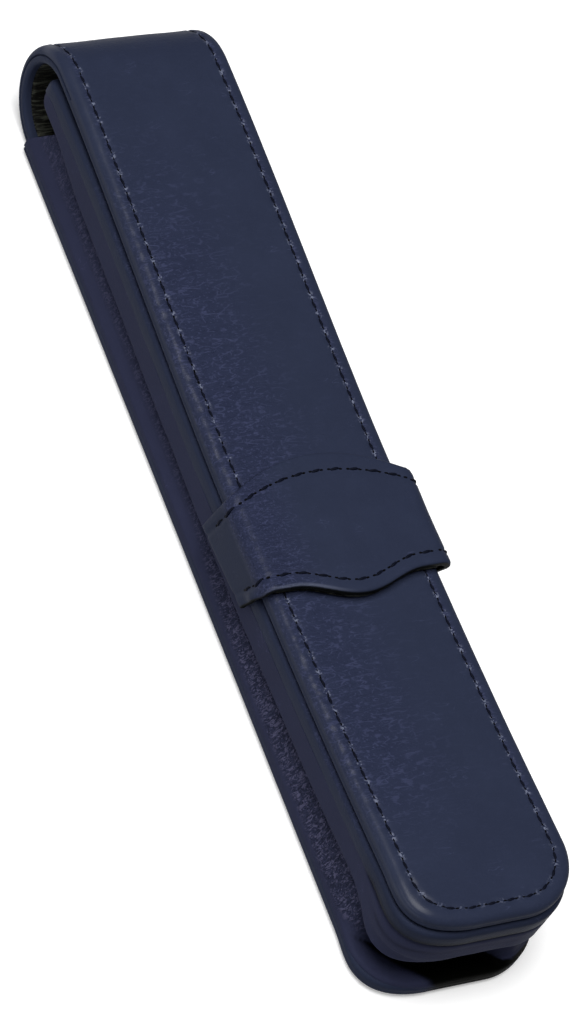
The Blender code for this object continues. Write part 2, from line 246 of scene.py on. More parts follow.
def crease(point, across, along, seed):
    """Narrow crease lines that run across the case, 0 between them and 1 in them."""
    stretched = Vector((point.x / across, point.y / along, point.z / along + seed))
    sway = noise.noise(stretched * 0.6 + Vector((3.0, 1.0, 7.0)))
    line = 1.0 - abs(noise.noise(stretched + Vector((0.0, 1.4 * sway, 0.0)))) * 4.0
    return max(line, 0.0) ** 2


def crease_share(point):
    """The flap is creased beside its left stitch line, most of all above the band."""
    y = point.y - FOOT
    above = fall(y, *CREASES_TOP) * rise(y, *BAND_UPPER_SIDE)
    below = rise(y, *CREASES_FOOT) * fall(y, *BAND_LOWER_SIDE)
    across = 0.85 * fall(point.x, *CREASES_ACROSS)
    return 0.08 + 0.92 * across * max(above, 0.85 * below) * rise(point.z, *FLAP_LEVEL)


# Mesh helpers

def select_none():
    bpy.ops.object.select_all(action="DESELECT")


def activate(*objects):
    select_none()
    for obj in objects:
        obj.select_set(True)
    bpy.context.view_layer.objects.active = objects[0]


def named(name):
    """The object that was just made, under its name."""
    obj = bpy.context.object
    obj.name = obj.data.name = name
    return obj


def joined(objects, name):
    activate(*objects)
    bpy.ops.object.join()
    return named(name)


def unit_grid(name, columns, rows):
    """A flat grid that reaches from -1 to 1 both ways."""
    select_none()
    bpy.ops.mesh.primitive_grid_add(x_subdivisions=columns, y_subdivisions=rows, size=2.0)
    return named(name)


def float_attribute(obj, name, values):
    layers = obj.data.attributes
    layer = layers.get(name) or layers.new(name, "FLOAT", "POINT")
    layer.data.foreach_set("value", values)


def rows_between(start, end, foot, mouth, pitch):
    """Places along a panel; a round end adds its own close rows."""
    rows = []
    low, high = start, end
    if foot > 0.0:
        steps = max(3, round(foot * math.pi / 2 / pitch))
        rows += [start + foot * (1.0 - math.cos(math.pi / 2 * i / steps)) for i in range(steps)]
        low = start + foot
    if mouth > 0.0:
        high = end - mouth
    steps = max(1, round((high - low) / pitch))
    rows += [low + (high - low) * i / steps for i in range(steps + 1)]
    if mouth > 0.0:
        steps = max(3, round(mouth * math.pi / 2 / pitch))
        rows += [high + mouth * math.sin(math.pi / 2 * i / steps) for i in range(1, steps + 1)]
    return rows


class Outline:
    """A long flat panel: half width, ends, and the radius of its round corners."""

    def __init__(self, half, start, end, foot=0.0, mouth=0.0):
        self.half = half if callable(half) else (lambda t: half)
        self.start = start
        self.end = end
        self.foot = foot
        self.mouth = mouth

    def rows(self, inset, pitch):
        start = self.start + (inset if self.foot else 0.0)
        end = self.end - (inset if self.mouth else 0.0)
        foot = max(self.foot - inset, LEAST_RADIUS) if self.foot else 0.0
        mouth = max(self.mouth - inset, LEAST_RADIUS) if self.mouth else 0.0
        return rows_between(start, end, foot, mouth, pitch)

    def width(self, t, inset):
        half = self.half(t)
        for radius, reach in ((self.foot, t - self.start), (self.mouth, self.end - t)):
            if radius and reach < max(radius, inset + LEAST_RADIUS):
                inner = max(radius - inset, LEAST_RADIUS)
                short = min(max(inset + inner - reach, 0.0), inner)
                return half - inset - inner + math.sqrt(max(inner * inner - short * short, 0.0))
        return half - inset

    def outward(self, x, t, inset):
        for radius, end, sign in ((self.foot, self.start, -1.0), (self.mouth, self.end, 1.0)):
            if not radius:
                continue
            inner = max(radius - inset, LEAST_RADIUS)
            centre_t = end - sign * (inset + inner)
            centre_x = self.half(t) - inset - inner
            beyond = sign * (t - centre_t)
            if beyond > HAIR:
                aside = max(abs(x) - centre_x, 0.0)
                return Vector((math.copysign(aside, x), sign * beyond)).normalized()
        return Vector((math.copysign(1.0, x), 0.0))


def flat_grid(name, outline, inset, height, pitch):
    """A grid that fills the outline, laid at one height."""
    rows = outline.rows(inset, pitch)
    columns = 2 * max(2, round(outline.half(0.0) / pitch / 2))
    obj = unit_grid(name, columns, len(rows) - 1)
    for v in obj.data.vertices:
        t = rows[round((v.co.y + 1.0) / 2 * (len(rows) - 1))]
        v.co = Vector((v.co.x * outline.width(t, inset), t, height))
    return obj


def turn_rim(obj, outline, profile):
    """Extrude the edge ring by ring.  A profile step is its inset and its depth."""
    activate(obj)
    bpy.ops.object.mode_set(mode="EDIT")
    bpy.ops.mesh.select_all(action="DESELECT")
    bpy.ops.mesh.select_mode(type="EDGE")
    bm = bmesh.from_edit_mesh(obj.data)
    for edge in bm.edges:
        if not edge.is_boundary:
            continue
        ys = [v.co.y for v in edge.verts]
        at_foot = not outline.foot and max(ys) < outline.start + HAIR
        at_mouth = not outline.mouth and min(ys) > outline.end - HAIR
        edge.select = not (at_foot or at_mouth)
    bm.select_flush_mode()
    bmesh.update_edit_mesh(obj.data)
    bm = bmesh.from_edit_mesh(obj.data)
    inset = profile[0][0]
    ways = {}
    for v in bm.verts:
        if v.select:
            ways[key_of(v.co)] = outline.outward(v.co.x, v.co.y, inset)
    for next_inset, depth in profile[1:]:
        bpy.ops.mesh.extrude_region()
        bm = bmesh.from_edit_mesh(obj.data)
        moved = {}
        for v in bm.verts:
            if not v.select:
                continue
            way = ways[key_of(v.co)]
            v.co.x += way.x * (inset - next_inset)
            v.co.y += way.y * (inset - next_inset)
            v.co.z = -depth
            moved[key_of(v.co)] = way
        ways = moved
        inset = next_inset
        bmesh.update_edit_mesh(obj.data)
    bpy.ops.object.mode_set(mode="OBJECT")


def key_of(co):
    return (round(co.x * 1e8), round(co.y * 1e8), round(co.z * 1e8))


def shell(name, top, floor, outline, profile):
    """Turn the rim of the top face round to its floor, merge doubled points, cap open ends."""
    turn_rim(top, outline, profile)
    body = joined((top, floor), name)
    bpy.ops.object.mode_set(mode="EDIT")
    bpy.ops.mesh.select_all(action="SELECT")
    bpy.ops.mesh.remove_doubles(threshold=WELD)
    if not (outline.foot and outline.mouth):
        bpy.ops.mesh.select_all(action="SELECT")
        bpy.ops.mesh.fill_holes(sides=0)
    bpy.ops.mesh.select_all(action="SELECT")
    bpy.ops.mesh.normals_make_consistent(inside=False)
    bpy.ops.object.mode_set(mode="OBJECT")
    return body


def arc_profile(inset, depth, radius_in, radius_down, start, end, steps):
    """Part of an ellipse about a centre, as inset and depth."""
    points = []
    for i in range(steps + 1):
        angle = math.radians(start + (end - start) * i / steps)
        points.append((inset - radius_in * math.sin(angle), depth - radius_down * math.cos(angle)))
    return points


def edge_profile(groove, seam, lip, shoulder):
    """Section of a turned edge: stitch groove and seam if any, soft shoulder, lip and tray."""
    round_over = arc_profile(shoulder, shoulder * 0.84, shoulder, shoulder * 0.83, 0, 90, 7)
    if groove:
        floor = groove + 0.8 * MM
        profile = [
            (floor, 0.0), (groove + 0.5 * MM, 0.02 * MM), (groove + 0.25 * MM, 0.10 * MM),
            (groove, GROOVE_DEPTH), (groove - 0.25 * MM, 0.10 * MM), (groove - 0.5 * MM, 0.01 * MM),
        ]
        profile += round_over + [(seam, 1.52 * MM), (0.04 * MM, 1.70 * MM), (0.0, 1.9 * MM)]
    else:
        floor = 1.7 * MM
        profile = [(floor, 0.0)] + round_over + [(0.0, 1.7 * MM)]
    profile += arc_profile(lip, PANEL - lip, lip, lip, 90, 180, 4)
    profile += [(TURNED_RIM, PANEL), (TURNED_RIM, LEATHER), (floor, LEATHER)]
    return profile


def leather_panel(
    name, outline, place, groove, relief, pucker_highlights=None,
    seam=0.02 * MM, lip=0.55 * MM, shoulder=1.6 * MM,
):
    """Leather of one panel with its turned edge, closed underneath."""
    profile = edge_profile(groove, seam, lip, shoulder)
    top = flat_grid(name, outline, profile[0][0], 0.0, PITCH)
    floor = flat_grid(name + "_floor", outline, profile[0][0], -LEATHER, PITCH)
    body = shell(name, top, floor, outline, profile)
    depths = [-v.co.z for v in body.data.vertices]
    wrap(body, place, relief, pucker_highlights=pucker_highlights)
    # Painted shade at the foot of the back, or on the edge of the front
    shades = [foot_shade(v.co) for v in body.data.vertices]
    if place is front_point:
        shades = [edge_shade(v.co, depth) for v, depth in zip(body.data.vertices, depths)]
    float_attribute(body, "painted_shade", shades)
    finish_piece(body, LEATHER_FINISH)
    return body


def edge_shade(at, depth):
    """Painted shade: the edge of the front is darkened where it lies in the shade of the flap at the foot,
    and painted dark where its seam gapes there.
    """
    y = at.y - FOOT
    shadow = 0.2 * fall(y, 20.0, 10.0) * rise(depth, 0.15, 0.3)
    gap_shade = rise(depth - PANEL, -0.9, 0.4) * fall(y, 17.0, 5.0)
    return max(shadow, 0.75 * gap_shade * (1.0 - 0.7 * rise(at.x, 0.0, 8.0)))


def foot_shade(at):
    """Painted shade: the upper part of the back's foot edge is painted as dark as the shaded fold above it.
    """
    if at.y > FOOT + 4.0 * MM or at.z > PANEL + MM:
        return 0.0
    return rise(at.x, -6.5, 3.0) * fall(at.x, 10.0, 2.0) * rise(at.z, 0.1, 0.3)


def lining_panel(name, outline, place, relief):
    """Lining laid in the tray of a panel; its inner face is the one that shows."""
    edge = TURNED_RIM + LINING_PLAY
    back = PANEL - LINING
    profile = [
        (edge + 0.8 * MM, PANEL), (edge + 0.25 * MM, PANEL - 0.03 * MM), (edge, PANEL - 0.25 * MM),
        (edge, back), (edge + 0.8 * MM, back),
    ]
    top = flat_grid(name, outline, profile[0][0], -PANEL, PLY_PITCH)
    floor = flat_grid(name + "_floor", outline, profile[0][0], -back, PLY_PITCH)
    body = shell(name, top, floor, outline, profile)
    wrap(body, place, relief, inner_face)
    finish_piece(body, LINING_FINISH)
    return body


def outer_face(depth):
    return 1.0 - rise(depth, 0.5, 0.9)


def inner_face(depth):
    return rise(depth - PANEL + LINING, 0.0, 0.5)


def wrap(obj, place, relief, face=outer_face, pucker_highlights=None):
    """Bend the flat piece onto the case and press its relief into one face."""
    shares, highlight_shares, shine = [], [], []
    for v in obj.data.vertices:
        x, t, depth = v.co.x, v.co.y, -v.co.z
        at = place(x, t, depth)
        share = crease_share(at)
        outer = face(depth)
        if relief and outer > 0.0:
            depth += outer * relief(x, t, at, share)
            at = place(x, t, depth)
        shares.append(max(share, 0.6 * pucker_share(x, at)) * outer)
        gloss = max(rim_shine(x, at) * math.sqrt(outer), 0.05 * share * outer)
        shine.append(0.0 if place is front_point else gloss)
        highlight_shares.append(pucker_highlights(x, t) * outer if pucker_highlights else 0.0)
        v.co = at
    float_attribute(obj, "creased", shares)
    float_attribute(obj, "painted_highlight", highlight_shares)
    float_attribute(obj, "shine", shine)


def rim_shine(x, at):
    """The left rim of the flap shines a little, most of all at its foot corner."""
    rim = rise(-x - STRIP_HALF, -1.9, 0.8) * rise(at.z, *RIM_LEVEL)
    off = math.hypot(at.x - SHINE_X, at.y - FOOT - SHINE_Y)
    corner = (1.0 - rise(off, 2.0, 3.5)) * rise(at.z, 17.5, 1.0)
    return max(0.3 * rim, 0.5 * corner)


def pucker_share(x, at):
    """Both long stitch lines of the flap are puckered."""
    off = abs(abs(x) - STRIP_HALF + STITCH_INSET - 0.3 * MM)
    return near(off, 0.9) * rise(at.y - FOOT, 12.0, 6.0) * rise(at.z, *RIM_LEVEL)


def finish_piece(obj, material, angle=50.0):
    obj.data.materials.clear()
    obj.data.materials.append(material)
    activate(obj)
    bpy.ops.object.mode_set(mode="EDIT")
    bpy.ops.mesh.select_all(action="SELECT")
    bpy.ops.mesh.normals_make_consistent(inside=False)
    bpy.ops.object.mode_set(mode="OBJECT")
    bpy.ops.object.shade_smooth_by_angle(angle=math.radians(angle))


# Stitch line of the strip: one run from the foot of the flap to the foot of the back

STITCH_X = STRIP_HALF - STITCH_INSET
FLAP_TURN = FLAP_CORNER - STITCH_INSET
BACK_TURN = BACK_CORNER - (BACK_HALF - STITCH_X)


def run_from_foot(x, t, side, turn):
    """Way along a U of stitches from the middle of the foot end."""
    flat = STITCH_X - turn
    if t >= side:
        return flat + turn * math.pi / 2 + t - side
    if abs(x) > flat:
        return flat + turn * math.atan2(abs(x) - flat, side - t)
    return abs(x)


def place_from_foot(run, side, turn, half):
    """The point at a distance along a U of stitches."""
    flat = half - turn
    if run < flat:
        return run, side - turn
    if run < flat + turn * math.pi / 2:
        angle = (run - flat) / turn
        return flat + turn * math.sin(angle), side - turn * math.cos(angle)
    return half, side + run - flat - turn * math.pi / 2


STRIP_STITCH_RUN = (
    run_from_foot(STITCH_X, FLAP_CORNER, FLAP_CORNER, FLAP_TURN)
    + STRIP_RUN - FLAP_CORNER - BACK_CORNER
    + run_from_foot(STITCH_X, BACK_CORNER, BACK_CORNER, BACK_TURN)
)
STRIP_STITCHES = round(STRIP_STITCH_RUN / STITCH_PITCH)
STRIP_PITCH = STRIP_STITCH_RUN / STRIP_STITCHES


def strip_run(x, s):
    """Way along the stitch line from the middle of the flap's foot."""
    if s > BACK_RUN:
        return run_from_foot(x, STRIP_RUN - s, FLAP_CORNER, FLAP_TURN)
    return STRIP_STITCH_RUN - run_from_foot(x, s, BACK_CORNER, BACK_TURN)


def stitch_place(run):
    """Side and way along the strip at a distance along the stitch line."""
    from_back = STRIP_STITCH_RUN - run
    if from_back < STITCH_X + BACK_CORNER:
        return place_from_foot(from_back, BACK_CORNER, BACK_TURN, STITCH_X)
    x, t = place_from_foot(run, FLAP_CORNER, FLAP_TURN, STITCH_X)
    return x, STRIP_RUN - t


def off_stitch_line(x, s):
    px, ps = stitch_place(strip_run(x, s))
    return math.hypot(abs(x) - px, s - ps)


def strip_pucker_highlights(x, s):
    """Painted highlight where the leather stands up between two stitches."""
    phase = math.cos(2 * math.pi * strip_run(x, s) / STRIP_PITCH)
    return 0.85 * smooth((phase + 0.1) / 0.8) * (1.0 - rise(off_stitch_line(x, s), 0.05, 0.55))


def flap_pucker_highlights(x, t):
    """The painted highlights are weak along the foot end of the flap."""
    return strip_pucker_highlights(x, STRIP_RUN - t) * (0.35 + 0.65 * rise(t, 4.0, 4.0))


def strip_relief(x, s, at, share):
    """Depth that the leather of the strip is pressed in by, at a point of the case."""
    depth = 0.10 * MM * ripple(at, 17.0 * MM, 2.0) + 0.035 * MM * ripple(at, 5.0 * MM, 9.0)
    depth += 0.16 * MM * share * crease(at, 7.5 * MM, 2.6 * MM, 1.0)
    depth += 0.07 * MM * share * crease(at, 3.2 * MM, 1.3 * MM, 5.0)
    phase = math.cos(2 * math.pi * strip_run(x, s) / STRIP_PITCH)
    return depth - 0.09 * MM * phase * near(off_stitch_line(x, s), 1.2)


def flap_relief(x, t, at, share):
    return strip_relief(x, STRIP_RUN - t, at, share)


# Cross ribs of the lining in the roll
RIB_PITCH = 1.5 * MM
RIB_DEPTH = 0.16 * MM
RIBS_BEYOND = 6.0 * MM


def rib_relief(x, s, at, share):
    """Lining gathers into cross ribs inside the roll and is nearly flat elsewhere."""
    if not BACK_RUN - RIBS_BEYOND < s < BACK_RUN + ROLL_RUN + RIBS_BEYOND:
        return 0.03 * MM * ripple(at, 3.0 * MM, 3.0)
    middle = abs(s - BACK_RUN - ROLL_RUN / 2) / (ROLL_RUN / 2)
    sway = 0.5 * ripple(at, 6.0 * MM, 3.0) + 1.1 * x / STRIP_HALF * ripple(at, 9.0 * MM, 8.0)
    rib = math.sin(2 * math.pi * (s / RIB_PITCH + sway))
    return RIB_DEPTH * rib * (1.0 - 0.8 * smooth((middle - 0.7) / 0.5)) - 0.05 * MM


def flap_lining_relief(x, t, at, share):
    return rib_relief(x, STRIP_RUN - t, at, share)


def front_relief(x, t, at, share):
    return 0.10 * MM * ripple(at, 15.0 * MM, 4.0) + 0.03 * MM * ripple(at, 5.0 * MM, 6.0)


# Materials

def new_group(name, inputs, outputs):
    """An empty shader node group: inputs are name, kind and value."""
    group = bpy.data.node_groups.new(name, "ShaderNodeTree")
    for socket, kind, value in inputs:
        made = group.interface.new_socket(socket, in_out="INPUT", socket_type="NodeSocket" + kind)
        if value is not None:
            made.default_value = value
    for socket, kind in outputs:
        group.interface.new_socket(socket, in_out="OUTPUT", socket_type="NodeSocket" + kind)
    return group


class Nodes:
    """Short calls to add and link the nodes of one tree."""

    def __init__(self, tree):
        self.tree = tree

    def add(self, kind, **settings):
        node = self.tree.nodes.new(kind)
        for name, value in settings.items():
            setattr(node, name, value)
        return node

    def feed(self, socket, value):
        if isinstance(value, bpy.types.NodeSocket):
            self.tree.links.new(value, socket)
        else:
            socket.default_value = value

    def fill(self, node, values):
        """Feed the named inputs of a node."""
        for name, value in values.items():
            self.feed(node.inputs[name], value)

    def math(self, operation, *values, clamp=False):
        node = self.add("ShaderNodeMath", operation=operation, use_clamp=clamp)
        for socket, value in zip(node.inputs, values):
            self.feed(socket, value)
        return node.outputs[0]

    def mix(self, share, a, b):
        node = self.add("ShaderNodeMix", data_type="RGBA")
        self.fill(node, {"Factor": share, "A": a, "B": b})
        return node.outputs["Result"]

    def noise(self, vector, scale, detail=3.0, roughness=0.55, distortion=0.0):
        node = self.add("ShaderNodeTexNoise")
        self.fill(node, {"Vector": vector, "Scale": scale, "Detail": detail})
        self.fill(node, {"Roughness": roughness, "Distortion": distortion})
        return node.outputs["Fac"]

    def cells(self, vector, scale):
        node = self.add("ShaderNodeTexVoronoi", feature="DISTANCE_TO_EDGE")
        self.fill(node, {"Vector": vector, "Scale": scale})
        return node.outputs["Distance"]

    def product(self, a, b):
        return self.math("MULTIPLY", a, b)

    def off_half(self, value):
        """How far a noise is from its middle, which is 0 along winding lines."""
        return self.math("ABSOLUTE", self.math("SUBTRACT", value, 0.5))

    def ramp(self, value, low, high):
        node = self.add("ShaderNodeMapRange", interpolation_type="SMOOTHSTEP")
        self.fill(node, {"Value": value, "From Min": low, "From Max": high})
        return node.outputs["Result"]

    def stretch(self, vector, x, y, z, turn=0.0):
        node = self.add("ShaderNodeMapping")
        turned = (0.0, 0.0, turn)
        self.fill(node, {"Vector": vector, "Rotation": turned, "Scale": (x, y, z)})
        return node.outputs["Vector"]

    def slanted(self, vector, turn, along, across):
        return self.stretch(vector, along, across, across, turn)


def make_grain_group():
    """Fine grain and cross creases as a height, and masks: painted highlights on the crease crests with a
    few light scratches of wear, and mottle.
    """
    group = new_group(
        "leather_grain",
        [("Vector", "Vector", None), ("Pebble scale", "Float", 1500.0), ("Creased", "Float", 0.0)],
        [("Height", "Float"), ("Highlight and wear", "Float"), ("Mottle", "Float")],
    )
    n = Nodes(group)
    source = n.add("NodeGroupInput")
    vector = source.outputs["Vector"]
    creased = source.outputs["Creased"]
    pebble = n.ramp(n.cells(vector, source.outputs["Pebble scale"]), 0.0, 0.28)
    pores = n.ramp(n.noise(vector, 3800.0, 2.0), 0.34, 0.62)
    lines = n.noise(n.stretch(vector, 150.0, 620.0, 620.0), 1.0, 4.0, 0.62, 0.9)
    folds = n.ramp(n.off_half(lines), 0.0, 0.085)
    thin = n.noise(n.stretch(vector, 420.0, 1300.0, 1300.0), 1.0, 3.0, 0.6, 0.7)
    fine = n.ramp(n.off_half(thin), 0.0, 0.09)
    both = n.math("ADD", n.product(folds, 0.5), n.product(fine, 0.5))
    grain = n.math("ADD", n.product(pebble, 0.10), n.product(pores, 0.06))
    height = n.math("ADD", grain, n.product(both, creased))
    hairs = []
    for hair_vector, sway, patch_scale in (
        (n.stretch(vector, 180.0, 780.0, 780.0), 0.5, 560.0),
        (n.slanted(vector, -0.4, 230.0, 900.0), 0.3, 650.0),
        (n.slanted(vector, 0.5, 230.0, 850.0), 0.3, 740.0),
    ):
        hair = n.noise(hair_vector, 1.0, 1.0, 0.5, sway)
        line = n.ramp(n.off_half(hair), 0.030, 0.006)
        hairs.append(n.product(line, n.ramp(n.noise(vector, patch_scale, 1.0), 0.48, 0.60)))
    light = n.math("MAXIMUM", hairs[0], n.math("MAXIMUM", hairs[1], hairs[2]))
    # Painted glints: bright specks in the creased zone
    sparks = n.product(n.ramp(n.noise(vector, 2300.0, 1.0), 0.62, 0.68), creased)
    crests = n.product(n.math("MAXIMUM", light, sparks), n.math("POWER", creased, 1.3))
    scratch = n.noise(n.slanted(vector, 0.7, 260.0, 1100.0), 1.0, 1.0, 0.5, 0.6)
    scratch_line = n.ramp(n.off_half(scratch), 0.018, 0.0)
    few = n.ramp(n.noise(vector, 210.0, 1.0), 0.62, 0.70)
    scratches = n.product(n.product(scratch_line, few), 0.35)
    highlight_and_wear = n.math("ADD", crests, scratches, clamp=True)
    mottle = n.noise(vector, 130.0, 4.0, 0.6)
    n.fill(n.add("NodeGroupOutput"), {"Height": height, "Highlight and wear": highlight_and_wear, "Mottle": mottle})
    return group


def new_material(name):
    material = bpy.data.materials.new(name)
    material.use_nodes = True
    tree = material.node_tree
    shader = tree.nodes["Principled BSDF"]
    return material, Nodes(tree), shader


def object_coordinates(n):
    return n.add("ShaderNodeTexCoord").outputs["Object"]


def attribute(n, name):
    node = n.add("ShaderNodeAttribute", attribute_type="GEOMETRY", attribute_name=name)
    return node.outputs["Fac"]


def bump(n, shader, height, distance):
    node = n.add("ShaderNodeBump")
    n.fill(node, {"Distance": distance, "Strength": 1.0, "Height": height})
    n.feed(shader.inputs["Normal"], node.outputs["Normal"])


# Colours
NAVY = (0.0218, 0.0278, 0.0530)
GUSSET_NAVY = (0.0268, 0.0302, 0.0615)
# A painted highlight: on the leather between stitches and on the left of the band's lower rim
PAINTED_HIGHLIGHT = (0.18, 0.20, 0.28, 1.0)
# Colour of the cut edge, and painted shade at the foot corner of the band's left leg
RAW_EDGE_AND_SHADE = (0.010, 0.011, 0.010, 1.0)
# Near black painted in as shade: inside the fold at the foot, along the seam and crease lines, on the
# front's edge and on the back's foot edge
PAINTED_SHADE = (0.0008, 0.001, 0.0006, 1.0)
# Painted shade in the pits between pebbles
PIT_SHADE = (0.005, 0.007, 0.010, 1.0)


def tinted(colour, red, green, blue):
    return (colour[0] * red, colour[1] * green, colour[2] * blue, 1.0)


def leather_material(name, colour, rough, shine, pebble_scale, relief, mask=None, fineness=1.0):
    """Dyed leather with painted highlights on crease crests and between stitches, a painted sheen over its
    creases, and painted shade in hollows and gaps. The mask says if it is pebbled or has a bare cut edge.
    """
    material, n, shader = new_material(name)
    grain = n.add("ShaderNodeGroup", node_tree=bpy.data.node_groups["leather_grain"])
    finer = n.stretch(object_coordinates(n), fineness, fineness, fineness)
    n.fill(grain, {"Vector": finer, "Pebble scale": pebble_scale / fineness})
    if mask != "pebbled":
        n.feed(grain.inputs["Creased"], attribute(n, "creased"))
    mottle = n.ramp(grain.outputs["Mottle"], 0.35, 0.75)
    tint = n.mix(mottle, tinted(colour, 1.0, 1.0, 1.0), tinted(colour, 1.10, 1.10, 1.10))
    # Painted highlights on the crease crests, with a few light scratches of wear
    tint = n.mix(n.product(grain.outputs["Highlight and wear"], 0.68), tint, tinted(colour, 3.9, 3.5, 3.7))
    height = grain.outputs["Height"]
    if mask != "pebbled":
        # Painted sheen: the creased zone is tinted a little bluer
        crease_sheen_tint = tinted(colour, 1.0, 0.95, 1.15)
        tint = n.mix(n.product(attribute(n, "creased"), 0.6), tint, crease_sheen_tint)
        # Painted highlight between stitches and on the band's rim, broken into flecks
        fleck = 1.0
        if mask != "raw_edge_and_shade":
            fleck = n.ramp(n.noise(object_coordinates(n), 2600.0, 1.0), 0.50, 0.60)
        tint = n.mix(n.product(attribute(n, "painted_highlight"), fleck), tint, PAINTED_HIGHLIGHT)
    # Cut-edge colour, and painted shade at the foot corner of the band's left leg
    if mask == "raw_edge_and_shade":
        tint = n.mix(attribute(n, "raw_edge_and_shade"), tint, RAW_EDGE_AND_SHADE)
    if mask == "pebbled":
        tint, height = pebbles(n, colour, tint, height)
    # Painted shade: near black laid over the colour where the shade attribute says
    if mask != "raw_edge_and_shade":
        tint = n.mix(attribute(n, "painted_shade"), tint, PAINTED_SHADE)
    roughness = n.math("ADD", rough - 0.06, n.product(grain.outputs["Mottle"], 0.14))
    n.fill(shader, {"Base Color": tint, "Roughness": roughness, "Specular IOR Level": shine})
    if mask != "pebbled":
        coat = attribute(n, "shine")
        n.fill(shader, {"Coat Weight": coat, "Coat Roughness": 0.30, "Coat IOR": 1.4})
    bump(n, shader, height, relief)
    return material


def pebbles(n, colour, tint, height):
    """Gathered leather breaks into pebbles, with painted shade in the pits between them and painted
    highlights on their tops.
    """
    gathered = attribute(n, "pebbled")
    vector = object_coordinates(n)
    cells = n.ramp(n.cells(vector, 1500.0), 0.0, 0.35)
    worms = n.noise(n.stretch(vector, 1100.0, 2400.0, 1100.0), 1.0, 2.0, 0.5, 1.4)
    pits = n.product(n.ramp(worms, 0.47, 0.38), gathered)
    tint = n.mix(n.product(pits, 0.35), tint, PIT_SHADE)
    # Painted highlight on the pebble tops
    tops = n.product(n.ramp(worms, 0.50, 0.62), gathered)
    tint = n.mix(n.product(tops, 0.6), tint, tinted(colour, 4.0, 3.5, 3.0))
    relief = n.math("ADD", cells, n.product(worms, 2.0))
    return tint, n.math("ADD", height, n.product(relief, gathered))


def lining_material():
    """Dark ribbed lining with painted olive highlights where it catches the light."""
    material, n, shader = new_material("dark_lining")
    vector = object_coordinates(n)
    slubs = n.noise(n.stretch(vector, 300.0, 2600.0, 2600.0), 1.0, 3.0)
    weave = n.noise(vector, 5200.0, 1.0)
    dark = (0.0015, 0.0016, 0.001, 1.0)
    olive = (0.058, 0.062, 0.050, 1.0)
    # Painted highlight: olive on the raised slubs, near black between them
    tint = n.mix(n.ramp(slubs, 0.42, 0.68), dark, olive)
    rough = n.math("ADD", 0.72, n.product(weave, 0.2))
    n.fill(shader, {"Base Color": tint, "Roughness": rough, "Specular IOR Level": 0.2})
    bump(n, shader, n.math("ADD", slubs, n.product(weave, 0.3)), 0.18 * MM)
    return material


def speckled_material(name, scale, detail, dark, light, rough, vary, specular, relief):
    """Two close colours mixed by fine noise."""
    material, n, shader = new_material(name)
    speck = n.noise(object_coordinates(n), scale, detail)
    roughness = n.math("ADD", rough, n.product(speck, vary))
    n.fill(shader, {"Base Color": n.mix(speck, dark, light), "Roughness": roughness})
    shader.inputs["Specular IOR Level"].default_value = specular
    if relief:
        bump(n, shader, speck, relief)
    return material


make_grain_group()
LEATHER_FINISH = leather_material("navy_leather", NAVY, 0.48, 0.02, 1250.0, 0.10 * MM)
GUSSET_FINISH = leather_material(
    "navy_gusset_leather", GUSSET_NAVY, 0.56, 0.015, 1500.0, 0.12 * MM, "pebbled"
)
BAND_FINISH = leather_material("navy_band_leather", NAVY, 0.48, 0.02, 1250.0, 0.08 * MM, "raw_edge_and_shade", 1.5)
LINING_FINISH = lining_material()
THREAD_FINISH = speckled_material(
    "navy_thread", 6500.0, 2.0, (0.0015, 0.002, 0.005, 1.0), (0.006, 0.008, 0.018, 1.0),
    rough=0.5, vary=0.2, specular=0.05, relief=0.08 * MM,
)
# Painted shade: near black for the inside of the needle holes
HOLE_SHADE_FINISH = speckled_material(
    "needle_hole_shade", 4000.0, 1.0, (0.001, 0.001, 0.001, 1.0), (0.003, 0.003, 0.004, 1.0),
    rough=0.9, vary=0.0, specular=0.05, relief=0.0,
)
BOARD_FINISH = speckled_material(
    "grey_board", 2500.0, 3.0, (0.20, 0.19, 0.17, 1.0), (0.34, 0.33, 0.30, 1.0),
    rough=0.9, vary=0.0, specular=0.5, relief=0.05 * MM,
)


# The strip: back, roll and flap

BACK_END = 146.0 * MM
HALF_LINK = 30
LINK_MIDDLES = [BACK_RUN + ROLL_RADIUS * math.radians(i * HALF_LINK) for i in (1, 3, 5)]
STRIP_CUTS = [BACK_END, *LINK_MIDDLES, 2 * BACK_RUN + ROLL_RUN - BACK_END]
LINKS = ["root", "roll_1", "roll_2", "roll_3", "flap"]
BEND_ON_PANEL = 2.1 * MM


def strip_half(s):
    """Half width of the strip: the back is wider up to its shoulder."""
    if s > BACK_RUN:
        return STRIP_HALF
    return BACK_HALF - (BACK_HALF - STRIP_HALF) * smooth((s - SHOULDER) / SHOULDER_SLOPE)


def roll_direction(degrees):
    turn = math.radians(degrees)
    return Vector((0.0, math.cos(turn), math.sin(turn)))


def bend_with_roll(obj, index):
    """A piece bends across the hinge between two links and meets its neighbours mid-link."""
    point = list(hinge.values())[index]
    to_cut = ROLL_RADIUS * math.sin(math.radians(HALF_LINK))
    to_inner_cut = (ROLL_RADIUS - PANEL) * math.sin(math.radians(HALF_LINK))
    before = (BEND_ON_PANEL, to_inner_cut, to_inner_cut, to_cut)[index]
    after = (to_cut, to_inner_cut, to_inner_cut, BEND_ON_PANEL)[index]
    way = roll_direction((30, 60, 120, 150)[index])
    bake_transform(obj, LINKS[index], LINKS[index + 1], start=point - way * before, end=point + way * after)


